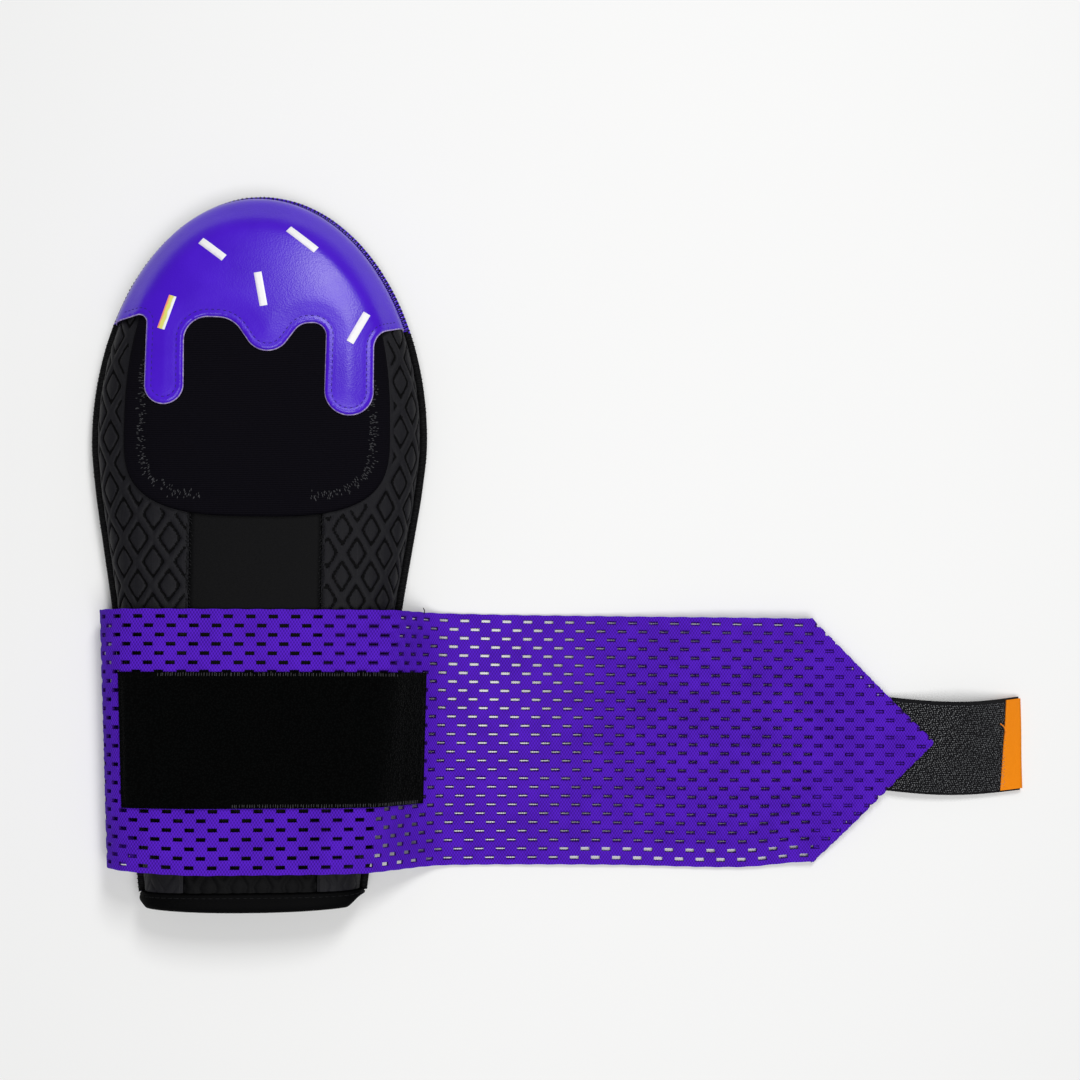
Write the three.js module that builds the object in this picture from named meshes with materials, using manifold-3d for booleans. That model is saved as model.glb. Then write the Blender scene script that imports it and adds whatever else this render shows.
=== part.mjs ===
// A sliding mitt: a padded pouch for the hand with a dripping finger cap and a wide mesh wrist strap, laid open.
// Millimetres. +X runs along the strap towards its pointed end, +Y towards the fingertips, +Z up.
// The origin is on the surface that the mitt lies on, under the middle of its widest row.

import * as THREE from "three";
import { mergeVertices } from "three/addons/utils/BufferGeometryUtils.js";
import Module from "manifold-3d";

const wasm = await Module();
wasm.setup();

// Driving dimensions
const GAP = 0.3; // left between pieces that are sewn or pressed together
const TIP_Y = 99.5; // the outline's far end
const CUFF_Y = -184; // the wrist mouth
const HEM_WIDTH = 7.2; // the band round the wrist mouth
const WALL = 3; // neoprene laminate
const SEAM_Z = 8; // height of the edge where the front and palm walls are sewn together
const SEAM_RADIUS = 1.3; // the overlocked edge is a bead
const SHOULDER_POWER = 3; // roundness of the front's cross-section
const PALM_FLAT = 0.74; // share of the palm wall's half-width that lies flat
const PANEL_SEAM_X = 25.3; // the seams between the smooth centre panel and the embossed side panels
const RINGS = 7; // rows of facets from the crest to the seam
const FAN_STEPS = 22; // columns of facets round the fingertips

// Sections of the mitt from the wrist to its widest row: half the outline's width, the crest's height,
// and how far the palm wall is lifted by the strap that passes under it.
const SECTIONS = [
  { y: CUFF_Y, halfWidth: 43.4, crest: 24.5, floor: 1.8 },
  { y: -150, halfWidth: 47.3, crest: 26.6, floor: 1.8 },
  { y: -110, halfWidth: 51.9, crest: 27, floor: 1.8 },
  { y: -66, halfWidth: 57.2, crest: 27, floor: 1.8 },
  { y: -42, halfWidth: 61.1, crest: 27, floor: 0 },
  { y: -20, halfWidth: 64.6, crest: 27, floor: 0 },
  { y: 0, halfWidth: 66.4, crest: 27, floor: 0 },
];
const WIDEST = SECTIONS[SECTIONS.length - 1].halfWidth;

// The hem's profile round the wrist mouth: how far out of the wall, and where along the hem's width.
const HEM_PROFILE = [
  { out: 0.6, along: 1 },
  { out: 1.4, along: 0.75 },
  { out: 1.4, along: 0.25 },
  { out: 0.5, along: 0 },
  { out: -WALL - 0.1, along: 0 },
  { out: -WALL - 0.8, along: 0.3 },
  { out: -WALL - 0.8, along: 0.75 },
  { out: -WALL - 0.2, along: 1 },
];

// The padded hand panel on the front, a rounded form that is blunter below its middle than above.
const PAD = { halfWidth: 51.4, up: 84, down: 32.7, powerUp: 2.5, powerDown: 3, edge: 1.3, thickness: 3, gap: 0.4 };
const PAD_LEVELS = [0, 0.35, 0.62, 0.84, 0.94, 1];
const PAD_ROUNDING = 0.84; // level past which the pad thins towards its edge
const PAD_COLUMNS = 36;

// The finger cap. Its dripping edge runs from left to right round circles: under each drip's tip, which has the
// vinyl inside (turn 1), and over the hollows between the drips (turn -1). The first and last rows are its ends.
const CAP = { thickness: 1.5, overPad: 0.5, rimZ: SEAM_Z + SEAM_RADIUS + GAP, climbLevel: 1.14 };
const CLEAR = { x: 100, y: 400, z: 100 }; // sizes well past the pouch, for what cuts it
const DRIPS = [
  { x: -70, y: 44, radius: 0, turn: 1 },
  { x: -46.6, y: 42.7, radius: 3.6, turn: -1 },
  { x: -35.8, y: 17.9, radius: 7.3, turn: 1 },
  { x: -19.4, y: 35.7, radius: 9.4, turn: -1 },
  { x: -15.7, y: 34.2, radius: 10.8, turn: -1 },
  { x: 3.5, y: 40.7, radius: 8.7, turn: 1 },
  { x: 19.9, y: 36.2, radius: 7.3, turn: -1 },
  { x: 21.2, y: 38.4, radius: 5.2, turn: -1 },
  { x: 35.3, y: 16.5, radius: 9.2, turn: 1 },
  { x: 53.5, y: 34.2, radius: 9, turn: -1 },
  { x: 72, y: 52.7, radius: 0, turn: 1 },
];

// The mesh strap. Each row is a knot of its course at the far edge (finger side) and the near edge (wrist side),
// with the facets on to the next knot. It starts sewn under the palm, folds round the left edge, crosses the front,
// drops off the right edge and lies out to its point, where its corners are folded under.
const STRAP = { y: -119, halfWidth: 50, thickness: 1.2, foldUnder: 1, rows: 6, arrowKnot: 18, tipSpread: 0.04 };
const STRAP_KNOTS = [
  { xFar: 14, zFar: 0.8, xNear: 12, zNear: 0.8, facets: 1 },
  { xFar: -18, zFar: 0.8, xNear: -16, zNear: 0.8, facets: 1 },
  { xFar: -47, zFar: 0.8, xNear: -42, zNear: 0.8, facets: 3 },
  { xFar: -57.4, zFar: 4.4, xNear: -52.2, zNear: 4.4, facets: 3 },
  { xFar: -60.2, zFar: 12, xNear: -55, zNear: 12, facets: 2 },
  { xFar: -58, zFar: 18.6, xNear: -53, zNear: 18.6, facets: 2 },
  { xFar: -52, zFar: 24.6, xNear: -47, zNear: 24.6, facets: 2 },
  { xFar: -42, zFar: 27.4, xNear: -39, zNear: 27.2, facets: 2 },
  { xFar: 0, zFar: 28, xNear: 0, zNear: 28, facets: 2 },
  { xFar: 40, zFar: 27.7, xNear: 31, zNear: 27.5, facets: 2 },
  { xFar: 54, zFar: 25.2, xNear: 43.5, zNear: 24.8, facets: 2 },
  { xFar: 60.5, zFar: 15.6, xNear: 54.5, zNear: 15.6, facets: 2 },
  { xFar: 66.5, zFar: 6.2, xNear: 65, zNear: 6.2, facets: 2 },
  { xFar: 73, zFar: 1.7, xNear: 73, zNear: 1.7, facets: 2 },
  { xFar: 84, zFar: 0.8, xNear: 84, zNear: 0.8, facets: 1 },
  { xFar: 112, zFar: 1, xNear: 112, zNear: 0.8, facets: 1 },
  { xFar: 150, zFar: 3, xNear: 150, zNear: 0.9, facets: 1 },
  { xFar: 190, zFar: 5.6, xNear: 190, zNear: 1.2, facets: 1 },
  { xFar: 224, zFar: 6.2, xNear: 223, zNear: 1.8, facets: 3 },
  { xFar: 250, zFar: 5.8, xNear: 250, zNear: 5.2, facets: 1 },
  { xFar: 262, zFar: 7.2, xNear: 262, zNear: 7.1, facets: 2 },
  { xFar: 274, zFar: 9.6, xNear: 274, zNear: 9.6, facets: 0 },
];

// The slots through the strap, staggered row by row. They are three times the size and pitch of the real mesh's.
// The first column is that far along the cloth from its sewn end, and none is cut under the loop panel.
const MESH = { first: 62, pitch: 25.6, slotLength: 10.8, rows: 9, rowPitch: 10.6, slotWidth: 4.2, margin: 2.4 };
const SLOT_REACH = 2.5; // each slot's cutter passes this far out of the cloth's middle on both sides

// The loop panel lies on the strap between two places in its course, across the middle half of its width.
const LOOP = { from: 6.05, to: 11.96, far: 0.238, near: 0.752, thickness: 1.8, columns: 22, rows: 3 };

// The hook tab comes out from under the strap's point and arches to its end, which the label folds round. Its far
// edge (finger side) stands higher than its near one.
const TAB = { y: -121.4, halfWidth: 19.2, thickness: 1.4, columns: 14, rows: 2 };
const TAB_KNOTS = [
  { x: 236, zFar: 1.1, zNear: 1.1 },
  { x: 250, zFar: 2.1, zNear: 2.1 },
  { x: 262, zFar: 4.4, zNear: 3.2 },
  { x: 274, zFar: 7.6, zNear: 3 },
  { x: 286, zFar: 9.6, zNear: 2.6 },
  { x: 298, zFar: 7.4, zNear: 2.2 },
  { x: 312.6, zFar: 2.4, zNear: 1.95 },
];
const LABEL = { from: 0.9, halfWidth: 18.5, thickness: 0.7, foldFacets: 4 };

const cloth = (name, color, roughness) => new THREE.MeshStandardMaterial({ name, color, roughness, metalness: 0 });
const MATERIALS = {
  embossed: cloth("embossed neoprene", 0x1d1d20, 0.6),
  smooth: cloth("smooth neoprene", 0x161618, 0.7),
  pad: cloth("brushed pad cloth", 0x0c0b11, 0.9),
  thread: cloth("overlock thread", 0x141416, 0.7),
  vinyl: cloth("purple vinyl", 0x4820c0, 0.35),
  mesh: cloth("purple mesh", 0x4a1cac, 0.8),
  loop: cloth("loop pile", 0x070808, 1),
  hook: cloth("hook tape", 0x26242b, 0.6),
  label: cloth("orange label", 0xff8a10, 0.7),
};

// Solids

// A closed solid between two sheets of points, outer(i, j) and inner(i, j), on a grid of columns by rows.
// A looped sheet joins its last column to its first. A hinged one has no edge along its first row.
function sheetSolid(columns, rows, outer, inner, { looped = false, hinged = false } = {}) {
  const corners = [];
  const quad = (a, b, c, d) => corners.push(a, b, c, a, c, d);
  const last = looped ? columns : columns - 1;
  for (let i = 0; i < last; i++) {
    const k = (i + 1) % columns;
    for (let j = 0; j < rows - 1; j++) {
      quad(outer(i, j), outer(k, j), outer(k, j + 1), outer(i, j + 1));
      quad(inner(i, j), inner(i, j + 1), inner(k, j + 1), inner(k, j));
    }
    quad(outer(i, rows - 1), outer(k, rows - 1), inner(k, rows - 1), inner(i, rows - 1));
    if (!hinged) quad(outer(i, 0), inner(i, 0), inner(k, 0), outer(k, 0));
  }
  for (let j = 0; j < rows - 1 && !looped; j++) {
    quad(outer(0, j), outer(0, j + 1), inner(0, j + 1), inner(0, j));
    quad(outer(last, j), inner(last, j), inner(last, j + 1), outer(last, j + 1));
  }
  return welded(new THREE.BufferGeometry().setFromPoints(corners));
}

// Merges shared vertices, drops triangles with no area and turns the faces outwards.
function welded(geometry) {
  const bare = geometry.clone();
  bare.deleteAttribute("normal");
  bare.deleteAttribute("uv");
  const merged = mergeVertices(bare, 1e-4);
  const index = merged.index.array;
  const kept = [];
  for (let t = 0; t < index.length; t += 3) {
    const [a, b, c] = [index[t], index[t + 1], index[t + 2]];
    if (a !== b && b !== c && c !== a) kept.push(a, b, c);
  }
  if (signedVolume(merged.attributes.position, kept) < 0) kept.reverse();
  merged.setIndex(kept);
  return merged;
}

function signedVolume(position, index) {
  const [a, b, c] = [new THREE.Vector3(), new THREE.Vector3(), new THREE.Vector3()];
  let sum = 0;
  for (let t = 0; t < index.length; t += 3) {
    a.fromBufferAttribute(position, index[t]);
    b.fromBufferAttribute(position, index[t + 1]);
    c.fromBufferAttribute(position, index[t + 2]);
    sum += a.dot(b.cross(c));
  }
  return sum;
}

function toManifold(geometry) {
  const closed = welded(geometry);
  const vertProperties = new Float32Array(closed.attributes.position.array);
  const triVerts = new Uint32Array(closed.index.array);
  return new wasm.Manifold(new wasm.Mesh({ numProp: 3, vertProperties, triVerts }));
}

function fromManifold(solid) {
  const mesh = solid.getMesh();
  const result = new THREE.BufferGeometry();
  result.setAttribute("position", new THREE.BufferAttribute(mesh.vertProperties, 3));
  result.setIndex(new THREE.BufferAttribute(mesh.triVerts, 1));
  return result;
}

const within = (geometry, tool) => fromManifold(toManifold(geometry).intersect(toManifold(tool)));

const pierced = (geometry, tools) =>
  fromManifold(tools.reduce((solid, tool) => solid.subtract(toManifold(tool)), toManifold(geometry)));

function piece(name, geometry, material) {
  const mesh = new THREE.Mesh(geometry, material);
  mesh.name = name;
  return mesh;
}

// The pouch

const sectionCurve = new THREE.CubicInterpolant(
  SECTIONS.map((s) => s.y),
  SECTIONS.flatMap((s) => [s.halfWidth, s.crest, s.floor]),
  3,
);
sectionCurve.settings = { endingStart: THREE.ZeroCurvatureEnding, endingEnd: THREE.ZeroSlopeEnding };

function section(y) {
  const [halfWidth, crest, floor] = sectionCurve.evaluate(Math.min(y, 0));
  return { halfWidth, crest, floor: Math.max(floor, 0) };
}

// The columns of facets, from the left of the wrist round the fingertips to its right. Below the widest row each is
// half a cross-section, and above it they fan out from the middle.
function stations(rowsY, fanSteps) {
  const left = rowsY.map((y) => ({ y, side: -1 }));
  const right = rowsY.map((y) => ({ y, side: 1 })).reverse();
  const fan = Array.from({ length: fanSteps + 1 }, (_, k) => ({ angle: Math.PI * (k / fanSteps - 0.5) }));
  return [...left, ...fan, ...right];
}

// A station's point on the outline, moved out by grow, and its point on the spine.
function edgePoint(station, grow) {
  if (station.side) {
    return new THREE.Vector2(station.side * (section(station.y).halfWidth + grow), station.y);
  }
  return new THREE.Vector2(Math.sin(station.angle) * (WIDEST + grow), Math.cos(station.angle) * (TIP_Y + grow));
}

const spinePoint = (station) => new THREE.Vector2(0, station.side ? station.y : 0);

const WALL_INSET = 2 * SEAM_RADIUS + 1.5 * GAP; // the walls stop short of the overlocked bead

// A point of the front: ring 0 is the crest, the last ring the seam. Lift is outwards from the wall's face.
function frontPoint(station, ring, lift) {
  const turn = (Math.PI / 2) * (ring / RINGS);
  const across = Math.sin(turn) ** (2 / SHOULDER_POWER);
  const rise = Math.max(Math.cos(turn), 0) ** (2 / SHOULDER_POWER);
  const at = spinePoint(station).lerp(edgePoint(station, lift - WALL_INSET), across);
  const base = SEAM_Z + GAP / 2;
  return new THREE.Vector3(at.x, at.y, base + (section(at.y).crest + lift - base) * rise);
}

// The height of the front's face, lifted, over any place inside the outline.
function frontHeight(x, y, lift) {
  const grow = lift - WALL_INSET;
  const side = Math.abs(x) / (section(y).halfWidth + grow);
  const across = y < 0 ? side : Math.hypot(x / (WIDEST + grow), y / (TIP_Y + grow));
  const rise = Math.max(1 - across ** SHOULDER_POWER, 0) ** (1 / SHOULDER_POWER);
  const base = SEAM_Z + GAP / 2;
  return base + (section(y).crest + lift - base) * rise;
}

// A point of the palm wall: flat out to PALM_FLAT, then turned up in a quarter-ellipse to the seam.
function palmPoint(station, ring, depth) {
  const turn = (Math.PI / 2) * (Math.max(ring - 1, 0) / (RINGS - 1));
  const across = ring === 0 ? 0 : PALM_FLAT + (1 - PALM_FLAT) * Math.sin(turn);
  const at = spinePoint(station).lerp(edgePoint(station, -WALL_INSET - depth), across);
  const low = section(at.y).floor + depth;
  const top = SEAM_Z - GAP / 2;
  return new THREE.Vector3(at.x, at.y, top - (top - low) * Math.cos(turn));
}

const HEM_Y = CUFF_Y + HEM_WIDTH;
const BODY = stations([HEM_Y + GAP, -150, -120, -92, -66, -42, -20], FAN_STEPS);

const bodyWall = (point, outer, inner) =>
  sheetSolid(
    BODY.length,
    RINGS + 1,
    (i, j) => point(BODY[i], j, outer),
    (i, j) => point(BODY[i], j, inner),
    { hinged: true },
  );

const palmPanel = () => piece("palm_panel", bodyWall(palmPoint, 0, WALL), MATERIALS.smooth);

// The front wall is three panels, parted along the two lengthwise seams.
function frontPanels() {
  const wall = bodyWall(frontPoint, 0, -WALL);
  const slice = (x0, x1) =>
    within(wall, new THREE.BoxGeometry(x1 - x0, CLEAR.y, CLEAR.z).translate((x0 + x1) / 2, 0, 0));
  const [inner, outer] = [PANEL_SEAM_X - GAP / 2, PANEL_SEAM_X + GAP / 2];
  return [
    piece("side_panel_left", slice(-CLEAR.x, -outer), MATERIALS.embossed),
    piece("centre_panel", slice(-inner, inner), MATERIALS.smooth),
    piece("side_panel_right", slice(outer, CLEAR.x), MATERIALS.embossed),
  ];
}

// The overlocked edge: a bead that follows the outline from one wrist corner to the other.
function edgeSeam() {
  const route = stations([HEM_Y + 2 * GAP, -150, -120, -92, -66, -42, -20], FAN_STEPS).map((station) => {
    const at = edgePoint(station, -SEAM_RADIUS);
    return new THREE.Vector3(at.x, at.y, SEAM_Z);
  });
  const round = new THREE.Shape().absarc(0, 0, SEAM_RADIUS, 0, 2 * Math.PI);
  const extrudePath = new THREE.CatmullRomCurve3(route);
  const bead = new THREE.ExtrudeGeometry(round, { steps: 64, curveSegments: 3, extrudePath });
  return piece("edge_seam", welded(bead), MATERIALS.thread);
}

// The outline of the wrist mouth, over the front and back along the palm.
function mouthLoop(lift) {
  const half = (point, side, push) =>
    Array.from({ length: RINGS + 1 }, (_, ring) => point({ y: CUFF_Y, side }, ring, push));
  const front = [...half(frontPoint, -1, lift).reverse(), ...half(frontPoint, 1, lift).slice(1)];
  const palm = [...half(palmPoint, 1, -lift).reverse(), ...half(palmPoint, -1, -lift).slice(1)];
  return [...front, ...palm];
}

function cuffHem() {
  const rings = HEM_PROFILE.map(({ out, along }) =>
    mouthLoop(out).map((point) => point.setY(CUFF_Y + along * HEM_WIDTH)),
  );
  rings.push(rings[0]);
  const corners = [];
  rings.slice(1).forEach((ring, r) => {
    ring.forEach((point, i) => {
      const k = (i + 1) % ring.length;
      corners.push(rings[r][i], rings[r][k], ring[k], rings[r][i], ring[k], point);
    });
  });
  return piece("cuff_hem", welded(new THREE.BufferGeometry().setFromPoints(corners)), MATERIALS.smooth);
}

// Pad and cap

// How far out a place is in the pad's outline: 0 at its middle, 1 on its edge.
function padLevel(x, y) {
  const [reach, power] = y > 0 ? [PAD.up, PAD.powerUp] : [PAD.down, PAD.powerDown];
  return (Math.abs(x / PAD.halfWidth) ** power + Math.abs(y / reach) ** power) ** (1 / power);
}

function padPlace(column, level) {
  const angle = (2 * Math.PI * column) / PAD_COLUMNS;
  const [x, y] = [Math.sin(angle) * PAD.halfWidth, Math.cos(angle)];
  const at = new THREE.Vector2(x, y * (y > 0 ? PAD.up : PAD.down));
  return at.multiplyScalar(level / padLevel(at.x, at.y));
}

function handPad() {
  const on = (i, j, thickness) => {
    const at = padPlace(i, PAD_LEVELS[j]);
    return new THREE.Vector3(at.x, at.y, frontHeight(at.x, at.y, PAD.gap + thickness));
  };
  const full = (j) => 1 - THREE.MathUtils.smoothstep(PAD_LEVELS[j], PAD_ROUNDING, 1);
  const geometry = sheetSolid(
    PAD_COLUMNS,
    PAD_LEVELS.length,
    (i, j) => on(i, j, THREE.MathUtils.lerp(PAD.edge, PAD.thickness, full(j))),
    (i, j) => on(i, j, 0),
    { looped: true, hinged: true },
  );
  return piece("hand_pad", geometry, MATERIALS.pad);
}

// The cap lies on the wall at its rim and climbs over the pad's edge.
function capPoint(station, ring, thickness) {
  const below = frontPoint(station, ring, GAP);
  const climb = 1 - THREE.MathUtils.smoothstep(padLevel(below.x, below.y), 1, CAP.climbLevel);
  return frontPoint(station, ring, GAP + climb * (PAD.gap + PAD.thickness + CAP.overPad) + thickness);
}

function fingerCap() {
  const fan = stations([], FAN_STEPS);
  const layer = sheetSolid(
    fan.length,
    RINGS + 1,
    (i, j) => capPoint(fan[i], j, CAP.thickness),
    (i, j) => capPoint(fan[i], j, 0),
    { hinged: true },
  );
  const stencil = new THREE.ExtrudeGeometry(capOutline(), { depth: CLEAR.z, bevelEnabled: false, curveSegments: 3 });
  return piece("finger_cap", within(layer, stencil.translate(0, 0, CAP.rimZ)), MATERIALS.vinyl);
}

// The direction, as an angle, of the straight stretch that touches two circles of the dripping edge.
function stretchAngle(from, to) {
  const [dx, dy] = [to.x - from.x, to.y - from.y];
  return Math.atan2(dy, dx) - Math.asin((to.turn * to.radius - from.turn * from.radius) / Math.hypot(dx, dy));
}

// The dripping edge, and then a wide way round the fingertips.
function capOutline() {
  const [start, end] = [DRIPS[0], DRIPS[DRIPS.length - 1]];
  const outline = new THREE.Shape();
  outline.moveTo(start.x, start.y);
  for (let k = 1; k < DRIPS.length - 1; k++) {
    const { x, y, radius, turn } = DRIPS[k];
    const arrive = stretchAngle(DRIPS[k - 1], DRIPS[k]);
    const leave = stretchAngle(DRIPS[k], DRIPS[k + 1]);
    const quarter = (turn * Math.PI) / 2;
    outline.absarc(x, y, radius, arrive - quarter, leave - quarter, turn < 0);
  }
  outline.lineTo(end.x, end.y);
  outline.lineTo(CLEAR.x, CLEAR.y);
  outline.lineTo(-CLEAR.x, CLEAR.y);
  return outline;
}

// Strap, loop panel, hook tab and label

const lerp = THREE.MathUtils.lerp;

const STRAP_END = STRAP_KNOTS.length - 1;

// The strap's course in XZ, across from 0 (far edge) to 1 (near edge).
const strapCurve = (across) =>
  new THREE.CatmullRomCurve3(
    STRAP_KNOTS.map((k) => new THREE.Vector3(lerp(k.xFar, k.xNear, across), 0, lerp(k.zFar, k.zNear, across))),
  );

// The share of its full width that the strap has at x, on a curve of its course: less past the arrow's corners.
function arrowSpread(curve, x) {
  const corner = curve.points[STRAP.arrowKnot].x;
  const arrow = (x - corner) / (curve.points[STRAP_END].x - corner);
  return lerp(1, STRAP.tipSpread, Math.max(arrow, 0));
}

// The middle of the strap's cloth at a place in its course (in knots).
function strapMiddle(course, across) {
  const curve = strapCurve(across);
  const point = curve.getPoint(THREE.MathUtils.clamp(course / STRAP_END, 0, 1));
  return point.setY(STRAP.y + STRAP.halfWidth * (1 - 2 * across) * arrowSpread(curve, point.x));
}

function strapPoint(course, across, lift) {
  const near = 0.02;
  const along = strapMiddle(course + near, across).sub(strapMiddle(course - near, across));
  const aside = strapMiddle(course, across + near).sub(strapMiddle(course, across - near));
  return strapMiddle(course, across).addScaledVector(aside.cross(along).normalize(), lift);
}

function wristStrap() {
  const courses = STRAP_KNOTS.flatMap(({ facets }, k) => Array.from({ length: facets }, (_, f) => k + f / facets));
  courses.push(STRAP_END);
  const half = STRAP.thickness / 2;
  const under = (course) => -half - (course > STRAP.arrowKnot ? STRAP.foldUnder : 0);
  const geometry = sheetSolid(
    courses.length,
    STRAP.rows + 1,
    (i, j) => strapPoint(courses[i], j / STRAP.rows, half),
    (i, j) => strapPoint(courses[i], j / STRAP.rows, under(courses[i])),
  );
  return piece("wrist_strap", pierced(geometry, meshSlots()), MATERIALS.mesh);
}

// A cutter for each slot of the mesh that lies clear of the strap's edges and of the loop panel.
function meshSlots() {
  const middle = strapCurve(0.5);
  const slots = [];
  for (let row = 0; row < MESH.rows; row++) {
    const aside = MESH.rowPitch * (row - (MESH.rows - 1) / 2);
    const first = MESH.first + (row % 2) * (MESH.pitch / 2);
    for (let start = first; start + MESH.slotLength < middle.getLength(); start += MESH.pitch) {
      const ends = [start, start + MESH.slotLength].map((at) => middle.getUtoTmapping(0, at) * STRAP_END);
      const spread = arrowSpread(middle, middle.getPoint(ends[1] / STRAP_END).x);
      const sides = [aside - MESH.slotWidth / 2, aside + MESH.slotWidth / 2];
      const acrosses = sides.map((side) => 0.5 + side / (2 * STRAP.halfWidth * spread));
      const room = STRAP.halfWidth * spread - Math.abs(aside) - MESH.slotWidth / 2;
      if (room > MESH.margin && !underLoop(ends, acrosses)) slots.push(slotCutter(ends, acrosses));
    }
  }
  return slots;
}

const underLoop = (ends, acrosses) =>
  ends[1] > LOOP.from && ends[0] < LOOP.to && acrosses[1] > LOOP.far && acrosses[0] < LOOP.near;

const slotCutter = (ends, acrosses) =>
  sheetSolid(
    2,
    2,
    (i, j) => strapPoint(ends[i], acrosses[j], SLOT_REACH),
    (i, j) => strapPoint(ends[i], acrosses[j], -SLOT_REACH),
  );

function loopPanel() {
  const on = (i, j, lift) =>
    strapPoint(lerp(LOOP.from, LOOP.to, i / LOOP.columns), lerp(LOOP.far, LOOP.near, j / LOOP.rows), lift);
  const low = STRAP.thickness / 2 + GAP;
  const geometry = sheetSolid(
    LOOP.columns + 1,
    LOOP.rows + 1,
    (i, j) => on(i, j, low + LOOP.thickness),
    (i, j) => on(i, j, low),
  );
  return piece("loop_panel", geometry, MATERIALS.loop);
}

// A line along the middle of the tab's tape at y.
function tabCurve(y) {
  const across = (TAB.y + TAB.halfWidth - y) / (2 * TAB.halfWidth);
  const knots = TAB_KNOTS.map(({ x, zFar, zNear }) => new THREE.Vector3(x, y, lerp(zFar, zNear, across)));
  return new THREE.CatmullRomCurve3(knots);
}

// A point off that line by lift, in a direction turned from the tape's upper face towards its end.
function tabPoint(along, y, lift, turn = 0) {
  const curve = tabCurve(y);
  const forward = curve.getTangent(along);
  const up = new THREE.Vector3(-forward.z, 0, forward.x);
  const off = up.multiplyScalar(Math.cos(turn)).addScaledVector(forward, Math.sin(turn));
  return curve.getPoint(along).addScaledVector(off, lift);
}

const acrossTab = (halfWidth, j) => TAB.y + halfWidth * (1 - (2 * j) / TAB.rows);

function hookTab() {
  const geometry = sheetSolid(
    TAB.columns + 1,
    TAB.rows + 1,
    (i, j) => tabPoint(i / TAB.columns, acrossTab(TAB.halfWidth, j), TAB.thickness / 2),
    (i, j) => tabPoint(i / TAB.columns, acrossTab(TAB.halfWidth, j), -TAB.thickness / 2),
  );
  return piece("hook_tab", geometry, MATERIALS.hook);
}

function endLabel() {
  const bend = Array.from({ length: LABEL.foldFacets + 1 }, (_, f) => ({
    along: 1,
    turn: (Math.PI * f) / LABEL.foldFacets,
  }));
  const course = [{ along: LABEL.from, turn: 0 }, ...bend, { along: LABEL.from, turn: Math.PI }];
  const low = TAB.thickness / 2 + GAP;
  const on = (i, j, lift) => tabPoint(course[i].along, acrossTab(LABEL.halfWidth, j), lift, course[i].turn);
  const geometry = sheetSolid(
    course.length,
    TAB.rows + 1,
    (i, j) => on(i, j, low + LABEL.thickness),
    (i, j) => on(i, j, low),
  );
  return piece("end_label", geometry, MATERIALS.label);
}

function group(name, ...children) {
  const result = new THREE.Group();
  result.name = name;
  return result.add(...children);
}

const pouch = group("pouch", palmPanel(), ...frontPanels(), edgeSeam(), cuffHem(), handPad(), fingerCap());
const fastening = group("fastening", wristStrap(), loopPanel(), hookTab(), endLabel());

export default group("sliding_mitt", pouch, fastening);
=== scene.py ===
"""A sliding mitt laid open on a pale table: a hand pouch with a dripping finger cap and a mesh wrist strap.

Sizes are millimetres in the part's own frame. Meshes are turned into metres as they are made.
"""
import math
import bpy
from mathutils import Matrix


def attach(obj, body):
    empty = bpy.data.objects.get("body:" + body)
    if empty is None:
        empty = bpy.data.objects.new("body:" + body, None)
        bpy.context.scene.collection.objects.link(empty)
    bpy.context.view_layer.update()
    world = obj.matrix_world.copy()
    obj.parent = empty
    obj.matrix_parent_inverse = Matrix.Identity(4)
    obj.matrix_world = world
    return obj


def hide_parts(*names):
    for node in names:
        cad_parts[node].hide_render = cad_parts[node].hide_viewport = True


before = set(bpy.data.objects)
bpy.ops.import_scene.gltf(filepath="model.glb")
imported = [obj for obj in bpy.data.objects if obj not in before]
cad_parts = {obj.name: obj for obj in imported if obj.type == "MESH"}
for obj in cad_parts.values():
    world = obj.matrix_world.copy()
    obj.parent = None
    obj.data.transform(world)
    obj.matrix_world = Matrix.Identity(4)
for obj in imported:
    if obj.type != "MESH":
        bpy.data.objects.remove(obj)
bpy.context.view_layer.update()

from types import SimpleNamespace as Sizes

import bmesh
import bpy
import numpy as np
from mathutils import Matrix, Vector
from mathutils.geometry import delaunay_2d_cdt

MM = 0.001
RNG = np.random.default_rng(11)
UP = np.array([0.0, 0.0, 1.0])
RIGHT_ANGLE = math.pi / 2
FULL_TURN = 2 * math.pi

# The pouch, as in the part's source
TIP_Y = 99.5
CUFF_Y = -184.0
HEM_WIDTH = 7.2
HEM_Y = CUFF_Y + HEM_WIDTH
HEM_SPREAD = 1.035
WALL = 2.8
SEAM_Z = 8.0
FRONT_BASE_Z = 8.15
PALM_TOP_Z = 7.85
WALL_INSET = 3.05
SHOULDER_POWER = 3.0
PALM_FLAT = 0.74
PANEL_SEAM_X = 25.3
PANEL_START = HEM_Y + 0.3
WIDEST = 66.4
SECTIONS = Sizes(
    y=(CUFF_Y, -150.0, -110.0, -66.0, -42.0, -20.0, 0.0),
    half_width=(43.4, 47.3, 51.9, 57.2, 61.1, 64.6, WIDEST),
    crest=(24.5, 26.6, 27.0, 27.0, 27.0, 27.0, 27.0),
    floor=(1.8, 1.8, 1.8, 1.8, 0.0, 0.0, 0.0),
)
HEM_PROFILE = dict(
    out=(0.2, 0.9, 1.25, 1.0, 1.4, 1.5, 1.35, 0.8, -0.4, -1.6, -2.8, -3.5, -3.6, -3.4, -2.9),
    along=(1.0, 0.97, 0.86, 0.78, 0.66, 0.4, 0.18, 0.04, -0.02, -0.02, 0.03, 0.16, 0.5, 0.85, 1.0),
)
HEM_STITCH = Sizes(out=1.25, along=0.78, count=200, pitch=2.6, thread=0.18)
PANEL_STITCH = Sizes(start=-73.0, end=-30.0, pitch=0.8, half=0.55, length=1.6, thread=0.22)

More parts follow.
